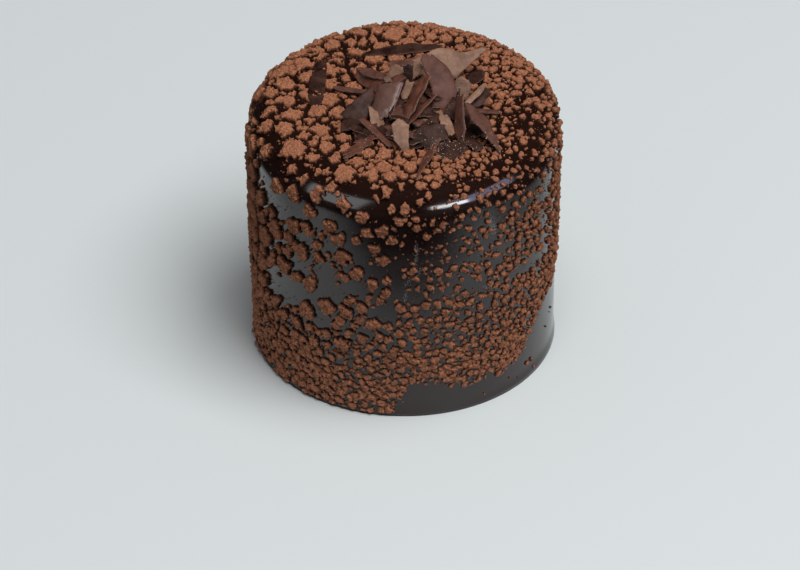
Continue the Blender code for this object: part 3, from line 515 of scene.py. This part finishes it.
def with_strips(clumps):
    """The clumps without the small ones that would lie in a bare strip."""
    x, y, z = clumps.points.T
    degrees = np.degrees(np.arctan2(x, -y))
    bare = np.zeros(len(z), bool)
    for start_angle, start_height, end_angle, end_height, half_width in BARE_STRIPS:
        share = (degrees - start_angle) / (end_angle - start_angle)
        middle = start_height + share * (end_height - start_height)
        narrowed = half_width * np.sqrt(np.clip(4 * share * (1 - share), 0.0, 1.0))
        reach = narrowed + 0.35 * clumps.spacing
        bare |= (share > 0.0) & (share < 1.0) & (np.abs(z - middle) < reach)
    return clumps._replace(present=clumps.present & (clumps.island | ~bare))


def clump_groups(clumps):
    """A number for each clump, which the joined ones of a cluster share. Clusters lie level."""
    squashed = clumps.points * GROUP_SQUASH
    coarse = spread(squashed, clumps.spacing * GROUP_SPREAD)
    tree = seed_tree(squashed[coarse])
    group = np.array([tree.find(point)[1] for point in squashed])
    draw = np.random.default_rng(GROUP_SEED)
    alone = LONER_SHARE * (1 - 0.8 * smoothstep(clumps.fill, CRUST_FILL - 0.12, CRUST_FILL))
    loner = clumps.island | (draw.uniform(0.0, 1.0, len(group)) < alone)
    group[loner] = len(coarse) + np.arange(loner.sum())
    return group


def clump_field(points, angle, clumps, group):
    """For each point: the distance inside its clump's edge (negative outside), the depth
    inside the nearest crease and its clump's index."""
    warp = np.stack([noise(points, 2.1, 30 + axis, 2) for axis in range(3)], axis=-1) * 0.60
    warp += np.stack([noise(points, 0.7, 40 + axis) for axis in range(3)], axis=-1) * 0.20
    warped = points + warp * np.clip(cocoa_spacing(points, angle) / 3.6, 0.45, 1.1)[:, None]
    tree = seed_tree(clumps.points)
    near = np.array([[hit[1] for hit in tree.find_n(place, NEIGHBOURS)] for place in warped])
    away = warped[:, None, :] - clumps.points[near]
    squared = (away**2).sum(axis=-1)
    squared -= clumps.stretch[near] * (away * clumps.lie[near]).sum(axis=-1) ** 2
    power = squared - (0.5 * clumps.spacing[near]) ** 2
    order = np.argsort(power, axis=1)
    near = np.take_along_axis(near, order, axis=1)
    power = np.take_along_axis(power, order, axis=1)
    distance = np.sqrt(np.take_along_axis(squared, order, axis=1))
    own, others = near[:, :1], near[:, 1:]
    size, fill = clumps.spacing[own[:, 0]], clumps.fill[own[:, 0]]
    apart = np.linalg.norm(clumps.points[own] - clumps.points[others], axis=-1)
    wall = (power[:, 1:] - power[:, :1]) / (2 * apart)
    joined = (group[own] == group[others]) & clumps.present[others]
    gap = (0.18 + 0.12 * size) * (0.25 + 2.6 * (1 - fill)) * (1 + 0.55 * noise(points, 3.3, 75))
    x, y, z = points.T
    top_left = smoothstep(z, HEIGHT - 6, HEIGHT - 2) * smoothstep(-x, -8, 12) * smoothstep(y, -32, -18)
    gap = gap * (1 + TOP_LEFT_GAPS * top_left)
    edge = np.where(joined, FAR, wall - gap[:, None] / 2).min(axis=1)
    crease = np.where(joined, wall, FAR).min(axis=1)
    cap = clumps.spacing * cap_share(clumps.fill)
    reach = np.where(group[near] == group[own], cap[near] - distance, -FAR)
    edge = np.minimum(edge, reach.max(axis=1))
    ragged = 0.40 * noise(points, 1.5, 70, 2) + 0.40 * noise(points, 0.6, 71)
    edge = edge + ragged * np.clip(size / 3.2, 0.6, 1.1)
    edge = np.where(clumps.present[own[:, 0]], edge, -1.0)
    return edge, crease, own[:, 0]


def clump_relief(points, edge, crease, size, on_top):
    """How far the cocoa stands over the glaze, and its painted light from 0 to 1: painted shade darkens its
    edges, its creases and the low spots of its crumbs.
    """
    full = np.clip(0.28 + 0.22 * size, 0.45, 1.2) * np.where(on_top, 0.75, 1.0)
    rise = 0.45 + 0.55 * (1.0 - np.exp(-np.clip(edge, 0.0, None) / 0.3))
    inside = smoothstep(edge, 0.0, 0.3)
    grains = 0.85 * np.abs(noise(points, 0.9, 60)) + 0.75 * np.abs(noise(points, 0.45, 61))
    crumb = 0.55 * (grains - 0.35)
    furrow = np.exp(-((crease / 0.15) ** 2))
    height = full * (rise - 0.45 * furrow * inside) + crumb * inside
    # Painted shade: the cocoa is painted darker over this width inside its edge, in its creases and on the
    # low spots of its crumbs, where shade falls.
    painted_shade_rim = 0.26 * np.clip(size / 3.5, 0.3, 1.0)
    painted_light_share = smoothstep(edge, -0.03, painted_shade_rim) * (1 - 0.6 * furrow) * np.clip(0.88 + 1.0 * crumb, 0.5, 1.1)
    return height, painted_light_share


def clipped(angle, run, quads, edge):
    """The part of a mesh where edge is above zero, cut along the edge's zero line.
    Returns the angle and run of its points, those on the cut last, and its triangles."""
    triangles = np.concatenate([quads[:, [0, 1, 2]], quads[:, [0, 2, 3]]])
    inside = edge > 0.0
    count = inside[triangles].sum(axis=1)
    whole = triangles[count == 3]
    one, two = triangles[count == 1], triangles[count == 2]
    one = np.array([np.roll(t, -k) for t, k in zip(one, inside[one].argmax(axis=1))]).reshape(-1, 3)
    two = np.array([np.roll(t, -k) for t, k in zip(two, (~inside[two]).argmax(axis=1))]).reshape(-1, 3)
    pairs = np.concatenate([one[:, [0, 1]], one[:, [0, 2]], two[:, [0, 1]], two[:, [0, 2]]])
    ends, place = np.unique(np.sort(pairs, axis=1), axis=0, return_inverse=True)
    place = place.reshape(-1) + len(edge)
    first, second = ends.T
    share = edge[first] / (edge[first] - edge[second])
    swing = (angle[second] - angle[first] + math.pi) % (2 * math.pi) - math.pi
    angle = np.concatenate([angle, angle[first] + share * swing])
    run = np.concatenate([run, run[first] + share * (run[second] - run[first])])
    a, b, c, d = np.split(place, np.cumsum([len(one), len(one), len(two)]))
    kept = [whole, np.stack([one[:, 0], a, b], 1)]
    kept += [np.stack([two[:, 1], two[:, 2], d], 1), np.stack([two[:, 1], d, c], 1)]
    return angle, run, np.concatenate(kept)


def part_of(points, normals):
    """The part of the cocoa that each seed belongs to."""
    x, y, _ = points.T
    top = np.where(y < 0, "top_front", "top_back")
    side = np.where(y < 0, np.where(x < 0, "front_left", "front_right"), "back")
    return np.where(normals[:, 2] > TOP_NORMAL, top, side)


def near_part(part, points):
    """Whether places can be covered by a clump of that part."""
    x, y, z = points.T
    top = z > HEIGHT - RIM_FILLET / 4 - PART_MARGIN
    side = np.hypot(x, y) > SHOULDER_RADIUS - RIM_FILLET / 3 - PART_MARGIN
    front, back = y < PART_MARGIN, y > -PART_MARGIN
    left, right = x < PART_MARGIN, x > -PART_MARGIN
    return {
        "top_front": top & front,
        "top_back": top & back,
        "front_left": side & front & left,
        "front_right": side & front & right,
        "back": side & back,
    }[part]


def make_cocoa(clumps, materials):
    """The cocoa clumps: lumps with steep sides, in one piece for each part of the cake."""
    group = clump_groups(clumps)
    parts = part_of(clumps.points, clumps.normals)
    for part, step in COCOA_PARTS.items():
        angle, run, quads, _ = skin(step)
        points, _ = surface(angle, run)
        quads = quads[near_part(part, points)[quads].all(axis=1)]
        used, index = np.unique(quads, return_inverse=True)
        angle, run, quads = angle[used], run[used], index.reshape(-1, 4)
        points, normals = glazed(angle, run)
        edge, crease, own = clump_field(points, angle, clumps, group)
        edge = np.where((parts[own] == part) & (points[:, 2] > LOWEST_COCOA), edge, -0.2)
        cut_angle, cut_run, triangles = clipped(angle, run, quads, edge)
        points, normals = glazed(cut_angle, cut_run)
        count = len(edge)
        on_top = normals[:count, 2] > TOP_NORMAL
        height, painted_light_share = clump_relief(points[:count], edge, crease, clumps.spacing[own], on_top)
        # The points on the cut sink into the glaze and get the darkest painted shade.
        cut = np.zeros(len(points) - count)
        height, painted_light_share = np.append(height, cut - CLUMP_ROOT), np.append(painted_light_share, cut)
        used, index = np.unique(triangles, return_inverse=True)
        raised = points[used] + normals[used] * height[used, None]
        faces = index.reshape(-1, 3).tolist()
        piece = mesh_piece(f"cocoa_{part}", raised, faces, materials["cocoa"])
        point_attribute(piece, "painted_light_share", painted_light_share[used])


def make_glaze(materials):
    """The glazed cake, closed by a flat foot."""
    angle, run, quads, foot = skin(GLAZE_STEP)
    points, _ = glazed(angle, run)
    points[foot, 2] = 0.0
    centre = len(points)
    points = np.vstack([points, [(0.0, 0.0, 0.0)]])
    faces = quads.tolist() + [(int(a), centre, int(b)) for a, b in zip(foot, np.roll(foot, -1))]
    piece = mesh_piece("glaze", points, faces, materials["glaze"])
    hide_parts("cake")


# Shavings

def over_top(place):
    """A place given by x, y and its height over the sloping top."""
    x, y, lift = place
    return x, y, HEIGHT + TOP_SLOPE * x + lift


def side_profile(shaving, draw):
    """A broken outline for one side of a flake: shares of half the width from foot to tip."""
    foot_share, tip_share = shaving.ends
    return (
        (0.0, foot_share * draw.uniform(0.6, 1.3)),
        (draw.uniform(0.12, 0.4), draw.uniform(0.85, 1.1)),
        (draw.uniform(0.55, 0.88), draw.uniform(0.75, 1.1)),
        (1.0, tip_share * draw.uniform(0.6, 1.3)),
    )


def shaving_mesh(shaving, outline, seed, along, across, combed):
    """A thin curved flake with torn edges: its points, its faces and how many are its rim."""
    foot = Vector(over_top(shaving.foot))
    tip = Vector(over_top(shaving.tip))
    length = (tip - foot).length
    ahead = (tip - foot).normalized()
    flat_side = Vector((0.0, 0.0, 1.0)).cross(ahead).normalized()
    flat_up = ahead.cross(flat_side)
    roll = math.radians(shaving.roll)
    side = np.array(flat_side * math.cos(roll) + flat_up * math.sin(roll))
    up = np.array(flat_up * math.cos(roll) - flat_side * math.sin(roll))
    foot, ahead = np.array(foot), np.array(ahead)
    u, v = np.meshgrid(np.linspace(0, 1, along + 1), np.linspace(-0.5, 0.5, across + 1), indexing="ij")
    u, v = u.ravel(), v.ravel()
    draw = np.random.default_rng(seed)
    right, left = outline or (side_profile(shaving, draw), side_profile(shaving, draw))
    share = np.where(v < 0, np.interp(u, *zip(*right)), np.interp(u, *zip(*left)))
    border = np.stack([u * length, np.sign(v) * 3.0, np.full(len(u), float(seed))], 1)
    outer = smoothstep(np.abs(v), 0.15, 0.5)
    torn = 0.09 * noise(border, 1.1, seed) + 0.09 * noise(border, 0.45, seed + 2)
    share += torn * outer * min(1.0, 3.5 / shaving.width)
    share = np.maximum(share, 0.03)
    ends = np.stack([v * shaving.width, np.round(u) * 5.0, np.full(len(u), seed + 0.5)], 1)
    end_part = smoothstep(np.abs(u - 0.5), 0.2, 0.5) * np.sign(u - 0.5)
    stretch = (0.5 * noise(ends, 1.4, seed + 1) + 0.35 * noise(ends, 0.5, seed + 3)) * end_part
    skew = np.where(u < 0.5, draw.uniform(-0.45, 0.45), draw.uniform(-0.45, 0.45))
    stretch += skew * v * share * shaving.width * np.abs(end_part)
    curl = math.radians(max(shaving.curl, 1.0))
    turn = curl * v * share
    radius = shaving.width / curl
    bulge = length * math.radians(shaving.bend) / 8 * 4 * u * (1 - u)
    spine = foot + ahead * (u * length + stretch)[:, None]
    spine += side * (shaving.bow * np.sin(math.pi * u))[:, None] + up * bulge[:, None]
    middle = spine + side * (radius * np.sin(turn))[:, None]
    middle -= up * (radius * (1.0 - np.cos(turn)))[:, None]
    place = np.stack([u * length, v * shaving.width, np.full(len(u), seed * 3.7)], 1)
    outward = up * np.cos(turn)[:, None] + side * np.sin(turn)[:, None]
    rise, spacing = (COMB, COMB_SPACING) if combed else (CHATTER, RIDGE_SPACING)
    chatter = rise * np.sin(2 * math.pi * (u * length + 0.3 * v * shaving.width) / spacing)
    middle += outward * (0.22 * noise(place, 3.2, 9) + 0.07 * noise(place, 0.9, 8) + chatter)[:, None]
    thin = np.minimum(smoothstep(0.5 - np.abs(v), 0.0, 0.12), smoothstep(0.5 - np.abs(u - 0.5), 0.0, 0.06))
    half = FLAKE_THICKNESS / 2 * (EDGE_SHARE + (1 - EDGE_SHARE) * thin)
    vertices = np.vstack([middle + outward * half[:, None], middle - outward * half[:, None]])
    under = len(u)
    grid = np.arange(under).reshape(along + 1, across + 1)
    upper = grid_faces(grid)
    edge = np.concatenate([grid[:, 0], grid[-1, 1:], grid[-2::-1, -1], grid[0, -2:0:-1]])
    after = np.roll(edge, -1)
    rim = np.stack([edge, edge + under, after + under, after], 1)
    faces = np.vstack([upper, (upper + under)[:, ::-1], rim])
    return vertices, faces, len(rim)


def make_flakes(name, shavings, materials, replaced):
    """Shavings of one tone, joined to one piece; their torn rims are lighter, partly in tone and partly as a
    painted highlight where the edges catch light.
    """
    vertices, faces, rims = [], [], []
    count = 0
    for seed, name_shown, shaving in shavings:
        combed = name_shown in COMBED
        along, across = HIDDEN_STEPS if seed >= HIDDEN_SEED else FLAKE_STEPS
        if combed:
            along = COMBED_STEPS
        if shaving.curl > STICK_CURL:
            across = STICK_STEPS
        outline = OUTLINES.get(name_shown)
        points, own, rim_count = shaving_mesh(shaving, outline, seed, along, across, combed)
        vertices.append(points)
        faces.append(own + count)
        rims.append(np.arange(len(own)) >= len(own) - rim_count)
        count += len(points)
    tone = shavings[0][2].tone
    rims = np.concatenate(rims)
    piece = mesh_piece(name, np.vstack(vertices), np.vstack(faces).tolist(), materials[tone])
    piece.data.materials.append(materials["rim"])
    piece.data.polygons.foreach_set("material_index", rims.astype(np.int32))
    piece.data.polygons.foreach_set("use_smooth", ~rims)
    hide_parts(*replaced)
    FLAKES.objects.link(piece)
    return np.vstack(vertices)


def hidden_shavings():
    """Flakes packed under the ones that stand out, which fill the heap's gaps; most are dark and paint the
    shade deep between the flakes.
    """
    draw = np.random.default_rng(FLAKE_SEED)
    flakes = []
    for _ in range(HIDDEN_COUNT):
        turn = draw.uniform(0.0, 2 * math.pi)
        far = math.sqrt(draw.uniform(0.0, 1.0))
        x = HEAP_CENTRE[0] + HEAP_RADII[0] * far * math.cos(turn)
        y = HEAP_CENTRE[1] + HEAP_RADII[1] * far * math.sin(turn)
        rise = 0.9 + draw.uniform(0.1, 4.8) * (1.0 - far**2)
        heading = draw.uniform(0.0, 2 * math.pi)
        length = draw.uniform(3.5, 8.5) * (1.0 - 0.35 * far)
        climb = draw.uniform(0.0, 0.5) * (1.0 - far)
        half_x, half_y = 0.5 * length * math.cos(heading), 0.5 * length * math.sin(heading)
        foot = (x - half_x, y - half_y, rise)
        tip = (x + half_x, y + half_y, rise + length * climb)
        tone = HIDDEN_SHADE_TONES[int(draw.integers(0, len(HIDDEN_SHADE_TONES)))]
        width, curl = draw.uniform(2.0, 5.0), draw.uniform(5, 60)
        roll = draw.uniform(-35, 35) * (1.0 - 0.6 * far)
        flakes.append(Shaving(tone, foot, tip, width, (0.6, 0.4), roll, curl, 10))
    return flakes


def make_shavings(materials):
    shown = [(n, name, own) for n, (name, own) in enumerate(HEAP_SHAVINGS.items())]
    hidden = [(HIDDEN_SEED + n, None, own) for n, own in enumerate(hidden_shavings())]
    places = []
    for tone in ("tan", "brown", "plum", "dark", "gloss"):
        own = [entry for entry in shown + hidden if entry[2].tone == tone]
        places.append(make_flakes(f"shavings_{tone}", own, materials, ["shavings"]))
    for number, (name, shaving) in enumerate(STRAY_SHAVINGS.items()):
        make_flakes(f"shown_{name}", [(STRAY_SEED + number, None, shaving)], materials, [name])
    return np.vstack(places)


def make_crystals(places, materials):
    """Tiny pale crystals strewn over the heap's flakes, thickest on the ones at the front; their pale colour
    partly paints the sparkle of glints.
    """
    draw = np.random.default_rng(CRYSTAL_SEED)
    x, y, _ = places.T
    chosen = []
    for left, back, count in CRYSTAL_ZONES:
        own = places[(x > left) & (y < back)]
        chosen.append(own[draw.integers(0, len(own), count)])
    chosen = np.vstack(chosen)
    chosen = chosen + draw.normal(0.0, CRYSTAL_SCATTER, chosen.shape) * (1.0, 1.0, 0.0)
    size = 0.05 + 0.14 * draw.uniform(0, 1, len(chosen)) ** 6
    vertices, faces = octahedra(chosen, size, draw)
    piece = mesh_piece("heap_crystals_and_glints", vertices, faces, materials["crystal"], smooth=False)
    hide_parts("shavings")


def octahedra(places, size, draw):
    """Small uneven lumps: an octahedron at each place, in one mesh."""
    corners = np.array([(1, 0, 0), (0, 1, 0), (-1, 0, 0), (0, -1, 0), (0, 0, 1), (0, 0, -1)], float)
    cell = np.array([(0, 1, 4), (1, 2, 4), (2, 3, 4), (3, 0, 4), (1, 0, 5), (2, 1, 5), (3, 2, 5), (0, 3, 5)])
    shapes = corners[None] * draw.uniform(0.6, 1.3, (len(places), 6, 1)) * size[:, None, None]
    vertices = (shapes + places[:, None]).reshape(-1, 3)
    faces = (cell[None] + 6 * np.arange(len(places))[:, None, None]).reshape(-1, 3)
    return vertices, faces.tolist()


def make_specks(materials):
    """Crumbs of cocoa between the clumps: tiny lumps strewn over the glaze."""
    draw = np.random.default_rng(SPECK_SEED)
    angle = draw.uniform(-math.pi, math.pi, SPECK_COUNT)
    run = draw.uniform(6.0, WHOLE_RUN - 2.0, SPECK_COUNT)
    points, normals = glazed(angle, run)
    area_share = np.hypot(points[:, 0], points[:, 1]) / SHOULDER_RADIUS
    fill = cocoa_fill(points, angle)
    kept = draw.uniform(0, 1, SPECK_COUNT) < area_share
    kept &= (draw.uniform(0, 1, SPECK_COUNT) < 0.25 + fill) & (fill > 0.12)
    points, normals = points[kept], normals[kept]
    size = 0.10 + 0.24 * draw.uniform(0, 1, len(points)) ** 2.5
    vertices, faces = octahedra(points + normals * 0.05, size, draw)
    piece = mesh_piece("cocoa_specks", vertices, faces, materials["cocoa"])
    # The crumbs are all painted at one fixed share of the clumps' painted light, part way into painted
    # shade.
    point_attribute(piece, "painted_light_share", np.full(len(vertices), 0.7))


def make_marks(materials):
    """Pale marks on the glaze: streaks of tiny flat specks."""
    draw = np.random.default_rng(MARK_SEED)
    angles, heights = [], []
    for start_angle, start_height, end_angle, end_height, width, count in MARKS:
        share = draw.uniform(0.0, 1.0, count)
        wander = noise(np.stack([share * 4.0, share * 0.0, share * 0.0 + start_angle], 1), 2.0, 5)
        sideways = 0.5 * wander + draw.normal(0.0, width, count)
        angles.append(start_angle + share * (end_angle - start_angle) + sideways / MM_PER_DEGREE)
        heights.append(start_height + share * (end_height - start_height) + draw.normal(0.0, width, count))
    angle, height = np.radians(np.concatenate(angles)), np.concatenate(heights)
    run = WHOLE_RUN - height / math.cos(TAPER)
    points, normals = glazed(angle, run)
    size = 0.06 + 0.07 * draw.uniform(0, 1, len(points)) ** 2
    vertices, faces = octahedra(points, size, draw)
    lift = np.repeat(normals, 6, axis=0)
    depth = ((vertices - np.repeat(points, 6, axis=0)) * lift).sum(axis=1)
    vertices = vertices - lift * (0.75 * depth)[:, None]
    piece = mesh_piece("glaze_marks", vertices, faces, materials["mark"], smooth=False)


# Materials

def new_material(name):
    material = bpy.data.materials.new(name)
    material.use_nodes = True
    nodes = material.node_tree.nodes
    return material, nodes, material.node_tree.links, nodes["Principled BSDF"]


def object_noise(nodes, links, scale, detail=3.0, stretch=(1.0, 1.0, 1.0)):
    """Noise whose bumps are 1/scale metres wide, stretched along an axis if asked."""
    coordinates = nodes.new("ShaderNodeTexCoord")
    mapping = nodes.new("ShaderNodeMapping")
    mapping.inputs["Scale"].default_value = stretch
    texture = nodes.new("ShaderNodeTexNoise")
    texture.inputs["Scale"].default_value = scale
    texture.inputs["Detail"].default_value = detail
    links.new(coordinates.outputs["Object"], mapping.inputs["Vector"])
    links.new(mapping.outputs["Vector"], texture.inputs["Vector"])
    return texture


def ramp(nodes, links, source, stops):
    """Colours for a node's values: each stop is a value and its colour."""
    node = nodes.new("ShaderNodeValToRGB")
    elements = node.color_ramp.elements
    while len(elements) < len(stops):
        elements.new(0.5)
    for element, (position, colour) in zip(elements, stops):
        element.position = position
        element.color = (*colour, 1.0)
    links.new(source.outputs["Fac"], node.inputs["Fac"])
    return node


def bump(nodes, links, source, shader, strength, distance_mm):
    node = nodes.new("ShaderNodeBump")
    node.inputs["Strength"].default_value = strength
    node.inputs["Distance"].default_value = distance_mm * MM
    links.new(source.outputs["Fac"], node.inputs["Height"])
    links.new(node.outputs["Normal"], shader.inputs["Normal"])


def glaze_material():
    material, nodes, links, shader = new_material("mirror_glaze")
    cloud = object_noise(nodes, links, 60.0, 4.0)
    tint = ramp(nodes, links, cloud, [(0.3, (0.013, 0.005, 0.0035)), (0.7, (0.020, 0.008, 0.006))])
    links.new(tint.outputs["Color"], shader.inputs["Base Color"])
    film = object_noise(nodes, links, 160.0, 5.0)
    dullness = ramp(nodes, links, film, [(0.35, (0.10,) * 3), (0.75, (0.20,) * 3)])
    links.new(dullness.outputs["Color"], shader.inputs["Roughness"])
    shader.inputs["IOR"].default_value = 1.56
    fine = object_noise(nodes, links, 420.0, 2.0)
    bump(nodes, links, fine, shader, 0.06, 0.2)
    return material


def cocoa_material():
    material, nodes, links, shader = new_material("cocoa_powder")
    # The attribute carries painted light: 0 paints the shade at the clumps' edges and creases, 1 their lit
    # tops.
    painted_light_share = nodes.new("ShaderNodeAttribute")
    painted_light_share.attribute_name = "painted_light_share"
    stops = [(0.0, (0.035, 0.014, 0.009)), (0.5, (0.20, 0.078, 0.042)), (1.0, (0.40, 0.163, 0.088))]
    depth = ramp(nodes, links, painted_light_share, stops)
    grain = object_noise(nodes, links, 2500.0, 3.0)
    grain.inputs["Roughness"].default_value = 0.6
    shade = ramp(nodes, links, grain, [(0.36, (0.55,) * 3), (0.66, (1.42,) * 3)])
    mixed = nodes.new("ShaderNodeMix")
    mixed.data_type = "RGBA"
    mixed.blend_type = "MULTIPLY"
    mixed.inputs["Factor"].default_value = 1.0
    links.new(depth.outputs["Color"], mixed.inputs["A"])
    links.new(shade.outputs["Color"], mixed.inputs["B"])
    links.new(mixed.outputs["Result"], shader.inputs["Base Color"])
    shader.inputs["Roughness"].default_value = 0.95
    shader.inputs["Specular IOR Level"].default_value = 0.15
    bump(nodes, links, grain, shader, 0.9, 0.3)
    return material


def chocolate_material(name, low, high, roughness, ridges=0.35, specular=0.4):
    """Shaved chocolate: cloudy in colour, with fine ridges left by the blade."""
    material, nodes, links, shader = new_material(name)
    shader.inputs["Specular IOR Level"].default_value = specular
    cloud = object_noise(nodes, links, 300.0, 8.0)
    cloud.inputs["Roughness"].default_value = 0.66
    tint = ramp(nodes, links, cloud, [(0.36, low), (0.64, high)])
    links.new(tint.outputs["Color"], shader.inputs["Base Color"])
    streaks = object_noise(nodes, links, 700.0, 2.0, (1.0, 0.25, 1.0))
    smooth, rough = (roughness - 0.08,) * 3, (roughness + 0.1,) * 3
    shine = ramp(nodes, links, streaks, [(0.3, smooth), (0.7, rough)])
    links.new(shine.outputs["Color"], shader.inputs["Roughness"])
    bump(nodes, links, streaks, shader, ridges, 0.15)
    return material


def make_materials():
    materials = {"glaze": glaze_material(), "cocoa": cocoa_material()}
    for key, look in CHOCOLATES.items():
        materials[key] = chocolate_material(*look)
    return materials


# Stage, light and camera

def make_floor():
    bpy.ops.mesh.primitive_plane_add(size=12.0, location=(0.0, 0.0, 0.0))
    floor = bpy.context.object
    floor.name = "floor"
    material, _, _, shader = new_material("pale_floor")
    shader.inputs["Base Color"].default_value = (0.74, 0.79, 0.80, 1.0)
    shader.inputs["Roughness"].default_value = 0.6
    floor.data.materials.append(material)


def make_flag(left, right, front, back, soft, height):
    """Black card round a pale field of floor, fading in: it shades what the cake reflects."""
    reach = 3.0
    points = [(x, y, height) for x, y in ((left, front), (right, front), (right, back), (left, back))]
    points += [(x + math.copysign(soft, x), y + math.copysign(soft, y), height) for x, y, _ in points]
    points += [(x * reach, y * reach, height) for x, y in ((-1, -1), (1, -1), (1, 1), (-1, 1))]
    faces = []
    for ring in (0, 4):
        faces += [(ring + 4 + i, ring + 4 + (i + 1) % 4, ring + (i + 1) % 4, ring + i) for i in range(4)]
    mesh = bpy.data.meshes.new("black_flag")
    mesh.from_pydata(points, [], faces)
    layer = mesh.attributes.new("cover", "FLOAT", "POINT")
    layer.data.foreach_set("value", [0.0] * 4 + [1.0] * 8)
    flag = add_object("black_flag", mesh)
    material, nodes, links, shader = new_material("black_card")
    shader.inputs["Base Color"].default_value = (0.01, 0.01, 0.01, 1.0)
    shader.inputs["Roughness"].default_value = 1.0
    cover = nodes.new("ShaderNodeAttribute")
    cover.attribute_name = "cover"
    geometry = nodes.new("ShaderNodeNewGeometry")
    from_above = nodes.new("ShaderNodeMath")
    from_above.operation = "SUBTRACT"
    from_above.use_clamp = True
    links.new(cover.outputs["Fac"], from_above.inputs[0])
    links.new(geometry.outputs["Backfacing"], from_above.inputs[1])
    clear = nodes.new("ShaderNodeBsdfTransparent")
    mixed = nodes.new("ShaderNodeMixShader")
    links.new(from_above.outputs["Value"], mixed.inputs["Fac"])
    links.new(clear.outputs["BSDF"], mixed.inputs[1])
    links.new(shader.outputs["BSDF"], mixed.inputs[2])
    links.new(mixed.outputs["Shader"], nodes["Material Output"].inputs["Surface"])
    mesh.materials.append(material)
    flag.visible_camera = False
    flag.visible_transmission = False
    flag.visible_shadow = False


def area_light(name, azimuth, elevation, distance, size, watts, colour=(1, 1, 1), only=None):
    """A softbox aimed at the cake, by its angles from the front (towards +X) and the floor.
    It lights the cake and shows in its glaze, or does only one of the two."""
    data = bpy.data.lights.new(name, "AREA")
    data.shape = "RECTANGLE"
    data.size, data.size_y = size
    data.energy = watts
    data.color = colour
    lamp = add_object(name, data)
    a, e = math.radians(azimuth), math.radians(elevation)
    aim = Vector((0.0, 0.0, HEIGHT * MM * 0.6))
    away = Vector((math.sin(a) * math.cos(e), -math.cos(a) * math.cos(e), math.sin(e)))
    lamp.location = aim + away * distance
    lamp.rotation_euler = (-away).to_track_quat("-Z", "Y").to_euler()
    lamp.visible_camera = False
    lamp.visible_glossy = only != "light"
    lamp.visible_diffuse = only != "shine"
    return lamp


def make_light():
    world = bpy.data.worlds.new("studio")
    bpy.context.scene.world = world
    world.use_nodes = True
    background = world.node_tree.nodes["Background"]
    background.inputs["Color"].default_value = (0.94, 0.97, 1.0, 1.0)
    background.inputs["Strength"].default_value = 0.22
    world.cycles_visibility.glossy = False
    area_light("overhead", 50, 70, 1.4, (0.9, 0.9), 18.0, (1.0, 0.99, 0.98), "light")
    area_light("front_right", 31, 14, 1.2, (0.48, 0.22), 5.2, only="shine")
    area_light("right_strip", 58, 18, 1.25, (0.95, 0.5), 4.5, (0.72, 0.70, 1.0), "shine")
    area_light("left_window", -52, 20, 1.4, (0.95, 1.0), 6.5, (0.93, 0.96, 1.0), "shine")
    sheen = area_light("flake_sheen", 8, 62, 1.2, (0.30, 0.55), 1.9, only="shine")
    sheen.light_linking.receiver_collection = FLAKES


def make_camera():
    data = bpy.data.cameras.new("camera")
    data.sensor_width = 36.0
    data.lens = PIXELS_PER_MM / MM * CAMERA_DISTANCE / PICTURE_WIDTH * data.sensor_width
    data.clip_end = 50.0
    camera = add_object("camera", data)
    sine, cosine = math.sin(CAMERA_ELEVATION), math.cos(CAMERA_ELEVATION)
    right = (PICTURE_CENTRE[0] - BASE_PIXEL[0]) / PIXELS_PER_MM * MM
    rise = (BASE_PIXEL[1] - PICTURE_CENTRE[1]) / PIXELS_PER_MM * MM
    target = Vector((right, rise * sine, rise * cosine))
    camera.location = target + Vector((0.0, -cosine, sine)) * CAMERA_DISTANCE
    camera.rotation_euler = (math.pi / 2 - CAMERA_ELEVATION, 0.0, 0.0)
    bpy.context.scene.camera = camera


def main():
    bpy.context.scene.view_settings.view_transform = "Standard"
    materials = make_materials()
    clumps = with_strips(scatter_clumps())
    make_glaze(materials)
    make_cocoa(clumps, materials)
    make_specks(materials)
    make_marks(materials)
    places = make_shavings(materials)
    make_crystals(places, materials)
    make_floor()
    make_flag(left=-0.098, right=0.086, front=-0.072, back=0.095, soft=0.031, height=0.0004)
    make_light()
    make_camera()


main()
